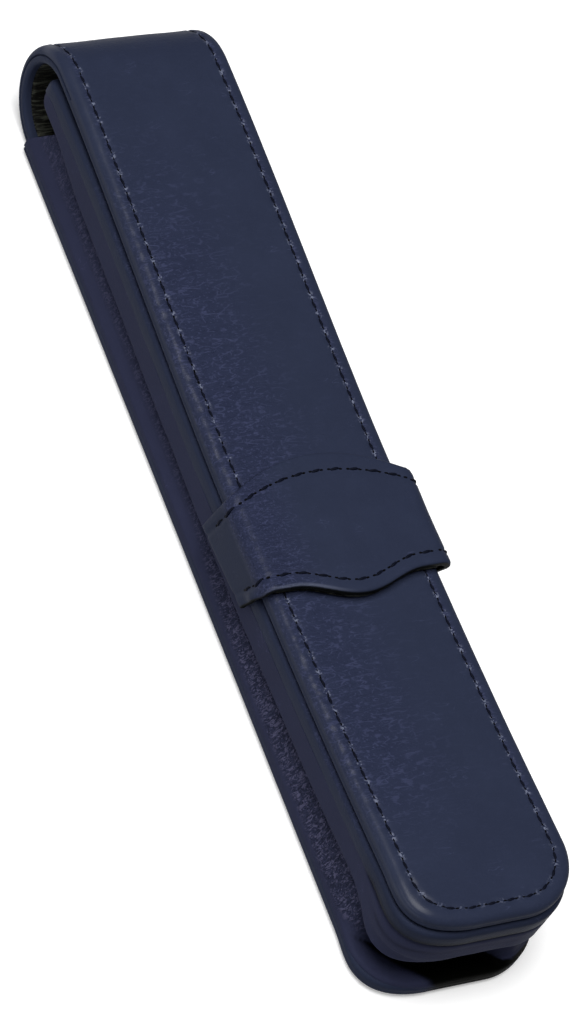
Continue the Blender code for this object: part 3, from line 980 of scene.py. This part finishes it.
def make_strip():
    back = Outline(strip_half, 0.0, BACK_END, foot=BACK_CORNER)
    inset = BACK_HALF - STITCH_X
    piece = leather_panel("back_leather", back, strip_point, inset, strip_relief, strip_pucker_highlights)
    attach(piece, "root")
    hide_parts("back_cover")
    piece = lining_panel("back_lining_cloth", back, strip_point, rib_relief)
    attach(piece, "root")
    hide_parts("back_lining")
    flap = Outline(STRIP_HALF, 0.0, BACK_END - FLAP_FOOT, foot=FLAP_CORNER)
    piece = leather_panel("flap_leather", flap, flap_point, STITCH_INSET, flap_relief, flap_pucker_highlights)
    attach(piece, "flap")
    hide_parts("flap_cover")
    piece = lining_panel("flap_lining_cloth", flap, flap_point, flap_lining_relief)
    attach(piece, "flap")
    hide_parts("flap_lining")
    for i in range(4):
        stretch = Outline(strip_half, STRIP_CUTS[i], STRIP_CUTS[i + 1])
        piece = leather_panel(
            f"roll_leather_{i + 1}", stretch, strip_point, STITCH_INSET, strip_relief, strip_pucker_highlights,
            seam=0.30 * MM,
        )
        bend_with_roll(piece, i)
        lining = lining_panel(f"roll_lining_cloth_{i + 1}", stretch, strip_point, rib_relief)
        bend_with_roll(lining, i)
        if i < 3:
            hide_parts(f"roll_cover_{i + 1}")
            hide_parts(f"roll_lining_{i + 1}")


def make_front():
    outline = Outline(FRONT_HALF, 0.0, FRONT_MOUTH - FRONT_FOOT, foot=FRONT_CORNER, mouth=FRONT_TIP)
    piece = leather_panel(
        "front_leather", outline, front_point, None, front_relief,
        seam=0.0, lip=0.08 * MM, shoulder=1.1 * MM,
    )
    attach(piece, "root")
    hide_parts("front_cover")
    piece = lining_panel("front_lining_cloth", outline, front_point, front_relief)
    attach(piece, "root")
    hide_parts("front_lining")


# Gusset: a folded strip swept along the sides and round the foot

GUSSET_LEATHER = 0.8 * MM
SKIRT_HEIGHT = 4.6 * MM
FOLD_DEPTH = 7.2 * MM
FOLD_HEIGHT = 1.7 * MM
FOLD_RADIUS = 0.75 * MM
SKIRT_RADIUS = 0.6 * MM
RIM_RADIUS = 0.25 * MM
HANG_REACH = 12.0 * MM
HANG_SHARE = 0.9
FOLD_PINCH = 1.7 * MM
PINCH_START = 132.0 * MM
PINCH_REACH = 14.0 * MM
SKIRT_NOSE = 4.5 * MM
SEAM_TUCK = 0.5 * MM
GUSSET_MOUTH = FRONT_MOUTH - 0.6 * MM
REAR_MOUTH = 149.4 * MM
FOLD_MOUTH = 145.2 * MM
SKIRT_TOP = FRONT_TOP - PANEL + 0.05 * MM
SKIRT_CREASE = 2.1 * MM
SKIRT_CREASE_SAG = 0.5 * MM
MARGIN_HEIGHT = PANEL + 0.2 * MM
GUSSET_PITCH = 0.4 * MM * COARSE


def filleted(points, radii, steps):
    """A broken line with each inner corner replaced by an arc."""
    path = [Vector(points[0])]
    for before, corner, after, radius in zip(points, points[1:], points[2:], radii):
        corner = Vector(corner)
        back = (Vector(before) - corner).normalized()
        ahead = (Vector(after) - corner).normalized()
        half_angle = back.angle(ahead) / 2
        centre = corner + (back + ahead).normalized() * radius / math.sin(half_angle)
        start = corner + back * radius / math.tan(half_angle) - centre
        turn = start.angle_signed(corner + ahead * radius / math.tan(half_angle) - centre)
        for i in range(steps + 1):
            path.append(centre + Matrix.Rotation(-turn * i / steps, 2) @ start)
    path.append(Vector(points[-1]))
    return path


def evenly(path, counts):
    """The same line with each of its segments cut into its count of steps."""
    points = [path[0]]
    for a, b, count in zip(path, path[1:], counts):
        points += [a.lerp(b, i / count) for i in range(1, count + 1)]
    return points


def gusset_sections():
    """The deep fold at the foot and the shallow one along the sides.

    Both run from the seam under the front to the edge of the back, as points that give
    the distance in from the edge and the height.
    """
    half = GUSSET_LEATHER / 2
    bottom = SKIRT_TOP - SKIRT_HEIGHT
    side_end = [(half + 0.02 * MM, MARGIN_HEIGHT), (half + 0.02 * MM, PANEL - 1.2 * MM)]
    skirt = [(half, SKIRT_TOP), (half, bottom)]
    deep = skirt + [(FOLD_DEPTH, MARGIN_HEIGHT + FOLD_HEIGHT), (2.6 * MM, MARGIN_HEIGHT)] + side_end
    shallow = skirt + [(2.6 * MM, bottom + 0.5 * MM), (1.25 * MM, MARGIN_HEIGHT + 1.2 * MM)]
    shallow += side_end
    deep = filleted(deep, (SKIRT_RADIUS, FOLD_RADIUS, 2.0 * MM, RIM_RADIUS), 6)
    shallow = filleted(shallow, (SKIRT_RADIUS, 0.3 * MM, 0.8 * MM, RIM_RADIUS), 6)
    counts = [max(1, round((a - b).length / GUSSET_PITCH)) for a, b in zip(deep, deep[1:])]
    return evenly(deep, counts), evenly(shallow, counts)


def gape(x, y):
    """How deep the fold is: only at the foot, and closed again at its right corner."""
    return fall(y, 13.0, 5.0) * (1.0 - rise(x, 5.5, 3.5))


def corner_arc(half, foot, corner):
    """The right half of a U: points from the middle of the foot to the start of the side."""
    flat = [((half - corner) * i / 10, foot) for i in range(10)]
    arc = []
    for i in range(ARC_STEPS + 1):
        angle = math.pi / 2 * i / ARC_STEPS
        x = half - corner * (1.0 - math.sin(angle))
        arc.append((x, foot + corner * (1.0 - math.cos(angle))))
    return flat + arc


def gusset_path():
    """Rows of the U from the left mouth to the right one.

    Each is a point under the front's edge, one on the back's edge, and the way out.
    """
    inner = corner_arc(FRONT_HALF, FRONT_FOOT, FRONT_CORNER)
    outer = corner_arc(BACK_HALF, 0.0, BACK_CORNER)
    ways = []
    for x, t in corner_arc(1.0, 0.0, 1.0):
        ways.append(Vector((x, t - 1.0)) if x else Vector((0.0, -1.0)))
    side = rows_between(FRONT_FOOT + FRONT_CORNER, GUSSET_MOUTH, 0.0, 0.0, GUSSET_PITCH)[1:]
    right = list(zip(inner, outer, ways))
    right += [((FRONT_HALF, t), (BACK_HALF, t), Vector((1.0, 0.0))) for t in side]
    right = [(Vector(a), Vector(b), way.normalized()) for a, b, way in right]
    flip = Vector((-1.0, 1.0))
    return [(a * flip, b * flip, way * flip) for a, b, way in reversed(right[1:])] + right


def hang(x, y):
    """How far the fold hangs back from the foot lift at a round corner, 0 to 1."""
    off = math.hypot(abs(x) - FRONT_HALF, y - FRONT_FOOT - FRONT_CORNER / 2)
    return HANG_SHARE * (1.0 - smooth(off / HANG_REACH))


def gusset_lift(x, y, z):
    fold = SKIRT_TOP - SKIRT_HEIGHT
    share = min(max((z - PANEL) / (fold - PANEL), 0.0), 1.0)
    under = min(max((SKIRT_TOP - z) / SKIRT_HEIGHT, 0.0), 1.0)
    pinch = FOLD_PINCH * under * smooth((y - PINCH_START) / PINCH_REACH)
    lift = foot_lift(y) * (1.0 - hang(x, y) * under) + mouth_lift(y) + pinch
    return share * lift - nose_drop(y) * (1.0 - smooth(under / 0.6))


def seam_tuck(y, z):
    """The skirt's top edge goes in under the front round the foot, where the seam gapes."""
    return SEAM_TUCK * rise(z - SKIRT_TOP, -0.7, 0.6) * fall(y, 15.0, 4.0)


def gather(at, rear):
    """Puckers of the gusset: fine cross wrinkles where the rear half goes under the fold."""
    if not rear:
        return 0.10 * MM * ripple(at, 11.0 * MM, 5.0) + 0.03 * MM * ripple(at, 3.0 * MM, 2.0)
    wrinkle = ripple(Vector((at.x / 4.0, at.y, at.z / 4.0)), 0.7 * MM, 1.0)
    return 0.05 * MM * ripple(at, 6.0 * MM, 1.0) + rise(at.z, 4.5, 2.5) * 0.16 * MM * wrinkle


# Slope of the line of sight, looking down from the left of the foot
SIGHT_X = 0.61
SIGHT_Y = 0.51

# Places on the margin: a point of the slanting left edge of the painted shade in the fold, and the rim of
# its lit facet
HOLLOW_X = -12.7 * MM
HOLLOW_Y = 8.3 * MM
FACET_LEFT = 7.5 * MM
FACET_RIGHT = 8.8 * MM
FACET_RIM = 1.9 * MM


def on_margin(at):
    """Where a point of the gusset is seen against its flat margin."""
    down = at.z - MARGIN_HEIGHT
    return at.x + SIGHT_X * down, at.y + SIGHT_Y * down


def pebble_share(at, rear):
    """The rear half is pebbled along its left side, most of all below the band."""
    x, y = on_margin(at)
    lower = rise(y, 9.0, 6.0) * fall(y, 85.0, 24.0)
    start = BACK_HALF - 0.5 * MM - 1.7 * MM * (1.0 - lower)
    return rear * rise(start + x, 0.0, 0.9) * (0.45 + 0.55 * lower) * rise(y, 8.0, 5.0)


def hollow_shade_share(at, inward, rear):
    """Painted shade: the fold is painted black inside, from a slanting edge on its left to a lit facet on
    its right.
    """
    x, y = on_margin(at)
    slant = (x - HOLLOW_X) * 0.73 - (HOLLOW_Y - y) * 0.68
    over = 1.0
    if x < -5.5 * MM:
        over = rise(7.6 * MM - 0.62 * (x + 9.5 * MM) - y, 0.0, 0.7)
    edge = smooth((inward - 0.5 * MM) / (0.8 * MM) + 2.0 * rise(x, -8.0, 5.0))
    rim = FACET_RIM + 0.7 * max(FACET_LEFT - x, 0.0) + 0.55 * max(x - FACET_RIGHT, 0.0)
    facet = rise(x, 4.2, 0.8) * rise(y - rim, 0.0, 0.4)
    return rear * edge * fall(y, 12.0, 2.0) * rise(slant, -0.3, 1.0) * over * (1.0 - facet)


def seam_shade_line(at):
    """Painted shade in the seam under the front, which gapes round the foot; the dark line fades to the
    right.
    """
    below = SKIRT_TOP + gusset_lift(at.x, at.y, SKIRT_TOP) - at.z
    along = fall(at.y, 16.0, 4.0) * (1.0 - 0.75 * rise(at.x, 2.0, 9.0))
    return along * (1.0 - rise(below, 0.3, 0.5))


def skirt_crease_shade(at):
    """Painted shade of a sharp crease that runs round the skirt at the foot."""
    sag = SKIRT_CREASE_SAG * rise(abs(at.x + 3.0 * MM), 0.0, 9.0)
    line = SKIRT_TOP + foot_lift(at.y) - SKIRT_CREASE - sag
    along = fall(at.y, 12.0, 4.0) * (0.35 + 0.65 * fall(at.x, -7.0, 2.0))
    return along * near(abs(at.z - line), 0.5)


def gusset_fill(at, rear):
    """The gusset follows the fuller foot corner, most of all under the front's edge."""
    share = 0.6 if rear else max(rise(at.z - SKIRT_TOP, -3.0, 3.0), 0.5)
    return corner_fill(at.x, at.y) * share


def mouth_cut(y, z, rear):
    """Way along near the mouth: the skirt ends in a round nose, the rear half slants."""
    if rear:
        fold = SKIRT_TOP - SKIRT_HEIGHT
        high = min(max((z - MARGIN_HEIGHT) / (fold - MARGIN_HEIGHT), 0.0), 1.0)
        end = REAR_MOUTH + (FOLD_MOUTH - REAR_MOUTH) * high
        end += (GUSSET_MOUTH - SKIRT_NOSE - FOLD_MOUTH) * smooth((high - 0.85) / 0.15)
    else:
        down = min(max((SKIRT_TOP - z) / SKIRT_HEIGHT, 0.0), 0.99)
        end = GUSSET_MOUTH - SKIRT_NOSE * (1.0 - math.sqrt(1.0 - down * down))
    return PINCH_START + (y - PINCH_START) * (end - PINCH_START) / (GUSSET_MOUTH - PINCH_START)


def tip_round(y):
    """The skirt's mouth follows the round corner of the front."""
    beyond = min(max((y - GUSSET_MOUTH + FRONT_TIP) / FRONT_TIP, 0.0), 1.0)
    return FRONT_TIP * (1.0 - math.sqrt(1.0 - 0.9 * beyond * beyond))


def make_gusset():
    deep, shallow = gusset_sections()
    path = gusset_path()
    gusset = unit_grid("gusset_leather", len(path) - 1, len(deep) - 1)
    turn = max(range(len(deep)), key=lambda i: deep[i].x)
    pebbled, painted_shade = [], []
    for v in gusset.data.vertices:
        inner, outer, way = path[round((v.co.x + 1.0) / 2 * (len(path) - 1))]
        index = round((v.co.y + 1.0) / 2 * (len(deep) - 1))
        inward, z = shallow[index].lerp(deep[index], gape(outer.x, outer.y))
        rear = 1.0 if index > turn else 0.0
        spread = fall(inward, 3.5, 3.1) * rear
        flat = inner.lerp(outer, spread) - way * (inward + seam_tuck(inner.y, z))
        if flat.y > PINCH_START:
            flat.y = mouth_cut(flat.y, z, rear)
            flat -= way * tip_round(flat.y) * (1.0 - rear)
        at = Vector((flat.x, flat.y, z + gusset_lift(flat.x, flat.y, z)))
        depth = gather(at, rear)
        at -= Vector((way.x, way.y, -rear)) * depth
        v.co = Vector((at.x * widen(at.y), FOOT + at.y, at.z)) + gusset_fill(at, rear)
        pebbled.append(pebble_share(at, rear))
        # Painted shade: dark lines at the seam and the skirt crease, and the black inside the fold
        lines = max(0.4 * skirt_crease_shade(at), 0.95 * seam_shade_line(at)) * (1.0 - rear)
        painted_shade.append(max(hollow_shade_share(at, inward, rear), lines))
    float_attribute(gusset, "pebbled", pebbled)
    float_attribute(gusset, "painted_shade", painted_shade)
    activate(gusset)
    wall = gusset.modifiers.new("wall", "SOLIDIFY")
    wall.thickness = GUSSET_LEATHER
    wall.offset = 0.0
    wall.use_even_offset = False
    bpy.ops.object.modifier_apply(modifier="wall")
    finish_piece(gusset, GUSSET_FINISH)
    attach(gusset, "root")
    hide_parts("gusset")


# Keeper band, cut flat with wavy edges: w runs across the case, q up from the foot

BAND_LEATHER = 1.2 * MM
BAND_LINING = 0.5 * MM
BAND_LINING_LIFT = 0.25 * MM
BAND_LINING_MARGIN = 0.12 * MM
BAND_HALF = FRONT_HALF + 0.25 * MM
BAND_CORNER = 1.0 * MM
BAND_FROM_FOOT = 58.1 * MM
BAND_SIDE_WIDTH = 16.5 * MM
BAND_CROWN = 4.8 * MM
BAND_DIP = 2.7 * MM
BAND_DIP_WIDTH = 22.0 * MM
BAND_LEG = 8.2 * MM
BAND_LEG_SLANT = 0.7 * MM
BAND_LEG_TAPER = 2.4 * MM
BAND_LEG_FLARE = 1.0 * MM
BAND_CORNER_FLARE = 0.8 * MM
BAND_INNER_TOP = WAIST_THICKNESS + 2 * SEAT_GAP + BAND_LINING
BAND_TOP_RUN = BAND_HALF - BAND_CORNER
BAND_TURN_RUN = BAND_CORNER * math.pi / 2
BAND_RUN = BAND_TOP_RUN + BAND_TURN_RUN + BAND_LEG - BAND_CORNER
BAND_PITCH = 0.4 * MM * COARSE


def band_side(w):
    """Sideways place of a point of the band and the share of the leg walked down."""
    out = abs(w)
    if out <= BAND_TOP_RUN:
        return w, 0.0
    if out <= BAND_TOP_RUN + BAND_TURN_RUN:
        angle = (out - BAND_TOP_RUN) / BAND_CORNER
        return math.copysign(BAND_TOP_RUN + BAND_CORNER * math.sin(angle), w), 0.0
    down = (out - BAND_TOP_RUN - BAND_TURN_RUN) / (BAND_LEG - BAND_CORNER)
    return math.copysign(BAND_HALF, w), down


def band_low(w):
    x, down = band_side(w)
    t = min(abs(x) / (BAND_DIP_WIDTH / 2), 1.0)
    return BAND_FROM_FOOT - BAND_DIP * 0.5 * (1.0 + math.cos(math.pi * t)) + BAND_LEG_TAPER * down


def band_high(w):
    x, down = band_side(w)
    t = x / FRONT_HALF
    return BAND_FROM_FOOT + BAND_SIDE_WIDTH + BAND_CROWN * (1.0 - t * t) + BAND_LEG_FLARE * down


def band_point(w, q, depth, outer_height=BAND_LEATHER, base=BAND_INNER_TOP):
    """A point of the band: across, up from the foot, and in from its outer face."""
    height = outer_height - depth
    out = abs(w)
    if out <= BAND_TOP_RUN:
        x, z = out, base + height
    elif out <= BAND_TOP_RUN + BAND_TURN_RUN:
        angle = (out - BAND_TOP_RUN) / BAND_CORNER
        x = BAND_TOP_RUN + (BAND_CORNER + height) * math.sin(angle)
        z = base - BAND_CORNER + (BAND_CORNER + height) * math.cos(angle)
    else:
        x = BAND_HALF + height + (corner_flare(w, q) if w < 0.0 else 0.0)
        z = base - BAND_CORNER - (out - BAND_TOP_RUN - BAND_TURN_RUN)
    down = band_side(w)[1]
    across = (q - BAND_FROM_FOOT - BAND_SIDE_WIDTH / 2) / (BAND_SIDE_WIDTH / 2)
    lift = flap_top(q) - WAIST_THICKNESS - BAND_LEG_SLANT * down * across
    return Vector((math.copysign(x, w) * widen(q), FOOT + q, z + lift))


def band_liner_point(w, q, depth):
    height = BAND_LINING + BAND_LINING_LIFT
    return band_point(w, q, depth, height, WAIST_THICKNESS + SEAT_GAP)


class BandOutline:
    """The flat cut of the band, or of its lining with a margin all round."""

    foot = mouth = True  # both ends are cut edges too, so the rim is turned all round

    def __init__(self, run, margin):
        self.run = run
        self.margin = margin

    def edge(self, w, upper, inset):
        inset += self.margin
        return band_high(w) - inset if upper else band_low(w) + inset

    def outward(self, w, q, inset):
        step = 0.2 * MM
        middle = (self.edge(w, True, inset) + self.edge(w, False, inset)) / 2
        upper = q > middle
        slope = (self.edge(w + step, upper, inset) - self.edge(w - step, upper, inset)) / (2 * step)
        way = Vector((-slope, 1.0)) if upper else Vector((slope, -1.0))
        if abs(w) > self.run - inset - 0.01 * MM:
            on_edge = abs(q - self.edge(w, upper, inset)) < 0.01 * MM
            side = Vector((math.copysign(1.0, w), 0.0))
            return (side + way.normalized()) if on_edge else side
        return way.normalized()


def band_grid(name, cut, inset, height):
    run = cut.run - inset
    columns = 2 * round(run / BAND_PITCH)
    rows = round((band_high(0.0) - band_low(0.0)) / BAND_PITCH)
    obj = unit_grid(name, columns, rows)
    for v in obj.data.vertices:
        w = v.co.x * run
        low, high = cut.edge(w, False, inset), cut.edge(w, True, inset)
        v.co = Vector((w, low + (high - low) * (v.co.y + 1.0) / 2, height))
    return obj


def band_piece(name, cut, profile, place, relief, material):
    top = band_grid(name, cut, profile[0][0], 0.0)
    floor = band_grid(name + "_floor", cut, profile[0][0], -profile[-1][1])
    body = shell(name, top, floor, cut, profile)
    flat = [(v.co.x, v.co.y, -v.co.z) for v in body.data.vertices]
    wrap(body, place, relief)
    shares = [band_crease_share(v.co) for v in body.data.vertices]
    float_attribute(body, "raw_edge_and_shade", [raw_edge_and_shade_share(*at) for at in flat])
    float_attribute(body, "painted_highlight", [rim_highlight_share(*at) for at in flat])
    float_attribute(body, "creased", shares)
    float_attribute(body, "shine", [0.15 * share for share in shares])
    finish_piece(body, material)
    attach(body, "root")
    return body


def raw_edge_and_shade_share(w, q, depth):
    """The cut edge shows its bare colour below its rim; at the foot corner of the left leg all of it is
    painted dark as shade.
    """
    corner = rise(-w - BAND_TOP_RUN, 1.0, 1.0) * fall(q - band_low(w), 0.5, 0.4)
    return max(rise(depth, 0.3, 0.15), corner * rise(depth, 0.1, 0.1))


def rim_highlight_share(w, q, depth):
    """Painted highlight on the rim of the left half of the lower edge."""
    rim = fall(q - band_low(w), 0.4, 0.2) * (1.0 - rise(depth, 0.18, 0.12))
    return 0.4 * rim * rise(w, -16.0, 3.0) * fall(w, 0.0, 9.0)


def corner_flare(w, q):
    """The foot corner of the left leg stands off the case."""
    off = abs(-w - BAND_TOP_RUN - BAND_TURN_RUN - 1.6 * MM)
    return BAND_CORNER_FLARE * fall(q - band_low(w), 3.0, 3.0) * near(off, 3.2)


def band_crease_share(point):
    """The band is finely creased beside its left shoulder."""
    beside = fall(point.x + BAND_HALF, 11.0, 8.0)
    return (0.06 + 0.94 * beside) * rise(point.z, 17.0, 1.5)


BAND_UPPER_STITCH = 3.0 * MM
BAND_UPPER_STITCH_END = 2.0 * MM
BAND_LOWER_STITCH = 2.2 * MM
BAND_STITCHES_END = 3.0 * MM


def band_seam(w, upper):
    """Way up from the foot of the upper or the lower stitches of the band."""
    if not upper:
        return band_low(w) + BAND_LOWER_STITCH
    out = min(abs(w) / BAND_TOP_RUN, 1.0)
    nearer = (BAND_UPPER_STITCH - BAND_UPPER_STITCH_END) * out * out
    return band_high(w) - BAND_UPPER_STITCH + nearer


def band_relief(w, q, at, share):
    depth = 0.07 * MM * ripple(at, 9.0 * MM, 2.0) + 0.02 * MM * ripple(at, 3.0 * MM, 5.0)
    depth += 0.07 * MM * band_crease_share(at) * crease(at, 2.5 * MM, 1.4 * MM, 2.0)
    for line in (band_seam(w, True), band_seam(w, False)):
        depth += 0.16 * MM * near(abs(q - line), 0.8)
    return depth


def make_band():
    profile = [
        (0.55 * MM, 0.0), (0.28 * MM, 0.05 * MM), (0.10 * MM, 0.18 * MM), (0.0, 0.42 * MM),
        (0.03 * MM, 0.62 * MM), (0.0, 0.80 * MM), (0.0, 1.0 * MM), (0.08 * MM, 1.17 * MM),
        (0.25 * MM, BAND_LEATHER), (0.55 * MM, BAND_LEATHER),
    ]
    cut = BandOutline(BAND_RUN, 0.0)
    band = band_piece("keeper_leather", cut, profile, band_point, band_relief, BAND_FINISH)
    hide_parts("keeper_band")
    profile = [
        (0.3 * MM, 0.0), (0.05 * MM, 0.06 * MM), (0.0, 0.2 * MM),
        (0.0, BAND_LINING), (0.3 * MM, BAND_LINING),
    ]
    cut = BandOutline(BAND_TOP_RUN - SEAT_GAP, BAND_LINING_MARGIN)
    liner = band_piece("keeper_liner", cut, profile, band_liner_point, None, LINING_FINISH)
    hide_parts("keeper_lining")


# Stitches

THREAD_RADIUS = 0.24 * MM
STITCH_SHARE = 0.72
STITCH_SLANT = 9.0
STITCH_TAPER = 0.35
STITCH_CROWN = 0.06 * MM
STITCH_DIVE = 0.42 * MM
HOLE_PLACE = 0.42
HOLE_SIZE = (0.34 * MM, 0.20 * MM, 0.06 * MM)


def stitch_model():
    """One stitch along x: thick in the middle, diving into the leather at both ends."""
    select_none()
    lying = (0.0, math.pi / 2, 0.0)
    bpy.ops.mesh.primitive_cylinder_add(vertices=8, radius=1.0, depth=2.0, rotation=lying)
    stitch = named("stitch")
    bpy.ops.object.transform_apply(location=False, rotation=True, scale=False)
    bpy.ops.object.mode_set(mode="EDIT")
    for place in (-0.8, -0.45, 0.0, 0.45, 0.8):
        bpy.ops.mesh.select_all(action="SELECT")
        bpy.ops.mesh.bisect(plane_co=(place, 0.0, 0.0), plane_no=(1.0, 0.0, 0.0))
    bpy.ops.object.mode_set(mode="OBJECT")
    length = STITCH_PITCH * STITCH_SHARE / 2
    for v in stitch.data.vertices:
        u = v.co.x
        girth = THREAD_RADIUS * (1.0 - STITCH_TAPER * u * u)
        sink = STITCH_DIVE * u * u - STITCH_CROWN
        v.co = Vector((u * length, v.co.y * girth, v.co.z * girth - sink))
    stitch.data.materials.append(THREAD_FINISH)
    return stitch


def hole_model():
    """The needle hole at one end of a stitch, a shallow dimple painted near black as the shade inside it."""
    select_none()
    bpy.ops.mesh.primitive_uv_sphere_add(segments=8, ring_count=5, radius=1.0)
    hole = named("hole")
    hole.data.transform(Matrix.Diagonal((*HOLE_SIZE, 1.0)))
    hole.data.materials.append(HOLE_SHADE_FINISH)
    return hole


STITCH = stitch_model()
HOLE = hole_model()


def copy_at(model, matrix):
    copy = model.copy()
    copy.data = model.data.copy()
    bpy.context.scene.collection.objects.link(copy)
    copy.data.transform(matrix)
    return copy


def frame_at(place, ahead, inward_step):
    """Matrix with x along the seam and z out of the leather at a place of the case."""
    along = (ahead - place).normalized()
    out = (place - inward_step).normalized()
    side = out.cross(along).normalized()
    out = along.cross(side)
    matrix = Matrix((along, side, out)).transposed().to_4x4()
    matrix.translation = place
    return matrix


def sew(name, seam, runs, pitch):
    """Stitches of one piece, joined.  seam(run, depth) gives a point of the case."""
    copies = []
    step = 0.1 * MM
    for run in runs:
        place = seam(run, 0.0)
        matrix = frame_at(place, seam(run + step, 0.0), seam(run, step))
        lean = noise.noise(place / (2.0 * MM))
        turn = Matrix.Rotation(math.radians(STITCH_SLANT + 5.0 * lean), 4, "Z")
        copies.append(copy_at(STITCH, matrix @ turn))
        for end in (-1.0, 1.0):
            at = run + end * pitch * STITCH_SHARE * HOLE_PLACE
            matrix = frame_at(seam(at, 0.0), seam(at + step, 0.0), seam(at, step))
            copies.append(copy_at(HOLE, matrix))
    thread = joined(copies, name)
    bpy.ops.object.shade_smooth()
    return thread


def strip_seam(sign):
    """The stitch line of one side of the strip."""
    def seam(run, depth):
        x, s = stitch_place(run)
        x *= sign
        at = strip_point(x, s, 0.0)
        floor = GROOVE_DEPTH + strip_relief(x, s, at, crease_share(at))
        return strip_point(x, s, floor + depth)
    return seam


def band_stitch_line(upper):
    """The stitch line along one edge of the band."""
    def seam(w, depth):
        q = band_seam(w, upper)
        at = band_point(w, q, 0.0)
        return band_point(w, q, band_relief(w, q, at, 0.0) + depth)
    return seam


def band_runs(upper):
    """Places of the stitches along one edge of the band."""
    end = BAND_RUN - BAND_STITCHES_END
    step = 0.05 * MM
    places = []
    travelled = 0.0
    w = -end
    while w < end:
        if travelled >= STITCH_PITCH * (len(places) + 0.5):
            places.append(w)
        travelled += math.hypot(step, band_seam(w + step, upper) - band_seam(w, upper))
        w += step
    return places


def make_stitches():
    rolls = ["roll_1", "roll_2", "roll_3", "roll_4"]
    in_order = ["back", *rolls, "flap"]
    stretches = {name: [] for name in ("flap", "back", *rolls)}
    for i in range(STRIP_STITCHES):
        run = STRIP_PITCH * (i + 0.5)
        cuts_passed = sum(stitch_place(run)[1] > cut for cut in STRIP_CUTS)
        stretches[in_order[cuts_passed]].append(run)
    for name, runs in stretches.items():
        left = sew(name + "_thread_0", strip_seam(-1.0), runs, STRIP_PITCH)
        right = sew(name + "_thread_1", strip_seam(1.0), runs, STRIP_PITCH)
        thread = joined((left, right), name + "_thread")
        if name.startswith("roll"):
            bend_with_roll(thread, int(name[-1]) - 1)
        else:
            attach(thread, "flap" if name == "flap" else "root")
    for name, upper in (("keeper_thread_upper", True), ("keeper_thread_lower", False)):
        thread = sew(name, band_stitch_line(upper), band_runs(upper), STITCH_PITCH)
        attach(thread, "root")
    for model in (STITCH, HOLE):
        bpy.data.objects.remove(model)


make_strip()
make_front()
make_gusset()
make_band()
make_stitches()

for board in ("back_board", "front_board", "flap_board"):
    mesh = frame["nodes"][board].data
    mesh.materials.clear()
    mesh.materials.append(BOARD_FINISH)


# Floor, light and camera

AIM = Vector((-0.0003, -0.0047, 0.0098))
CAMERA_AZIMUTH = -49.95
CAMERA_ELEVATION = 51.53
CAMERA_ROLL = 34.26
CAMERA_DISTANCE = 0.7685
CAMERA_LENS = 181.8
WORLD_LIGHT = 0.51
FLOOR_SIZE = 6.0
FLOOR_SEEN = (0.88, 0.88, 0.88, 1.0)
FLOOR_LIT = (0.60, 0.60, 0.60, 1.0)
FLOOR_GLOW = 0.35


def make_camera():
    azimuth = math.radians(CAMERA_AZIMUTH)
    elevation = math.radians(CAMERA_ELEVATION)
    back = Vector((
        math.sin(azimuth) * math.cos(elevation),
        -math.cos(azimuth) * math.cos(elevation),
        math.sin(elevation),
    ))
    camera = bpy.data.objects.new("camera", bpy.data.cameras.new("camera"))
    bpy.context.scene.collection.objects.link(camera)
    camera.data.lens = CAMERA_LENS
    camera.data.clip_start = 10 * MM
    camera.location = AIM + back * CAMERA_DISTANCE
    look = (-back).to_track_quat("-Z", "Y").to_matrix()
    roll = Matrix.Rotation(math.radians(CAMERA_ROLL), 3, "Z")
    camera.rotation_euler = (look @ roll).to_euler()
    bpy.context.scene.camera = camera


def soft_light(name, place, wide, high, power):
    light = bpy.data.lights.new(name, "AREA")
    light.shape = "ELLIPSE"
    light.size = wide
    light.size_y = high
    light.energy = power
    obj = bpy.data.objects.new(name, light)
    bpy.context.scene.collection.objects.link(obj)
    obj.location = place
    obj.rotation_euler = (AIM - Vector(place)).to_track_quat("-Z", "Y").to_euler()


def background_rays(n):
    """1 for the rays that show the background: seen directly, mirrored or through glass."""
    path = n.add("ShaderNodeLightPath")
    seen = n.math("MAXIMUM", path.outputs["Is Camera Ray"], path.outputs["Is Transmission Ray"])
    return n.math("MAXIMUM", seen, path.outputs["Is Glossy Ray"])


def make_floor():
    select_none()
    bpy.ops.mesh.primitive_plane_add(size=FLOOR_SIZE, location=(0.0, 0.0, -0.02 * MM))
    floor = named("floor")
    material = bpy.data.materials.new("white_floor")
    material.use_nodes = True
    tree = material.node_tree
    tree.nodes.clear()
    n = Nodes(tree)
    seen = background_rays(n)
    paint = n.add("ShaderNodeBsdfDiffuse")
    n.feed(paint.inputs["Color"], n.mix(seen, FLOOR_LIT, FLOOR_SEEN))
    glow = n.add("ShaderNodeEmission")
    strength = n.product(seen, FLOOR_GLOW)
    n.fill(glow, {"Color": (1.0, 1.0, 1.0, 1.0), "Strength": strength})
    both = n.add("ShaderNodeAddShader")
    n.feed(both.inputs[0], paint.outputs[0])
    n.feed(both.inputs[1], glow.outputs[0])
    out = n.add("ShaderNodeOutputMaterial")
    n.feed(out.inputs["Surface"], both.outputs[0])
    floor.data.materials.append(material)


def make_world():
    world = bpy.data.worlds.new("studio")
    bpy.context.scene.world = world
    world.use_nodes = True
    tree = world.node_tree
    n = Nodes(tree)
    shade = tree.nodes["Background"]
    n.feed(shade.inputs["Strength"], n.math("MAXIMUM", background_rays(n), WORLD_LIGHT))


make_camera()
make_floor()
make_world()
soft_light("overhead", place=(-0.15, 0.0, 0.98), wide=0.8, high=0.8, power=12.0)
soft_light("window", place=(-0.80, -0.05, 0.45), wide=1.0, high=0.22, power=1.3)
bpy.context.scene.view_settings.view_transform = "Standard"
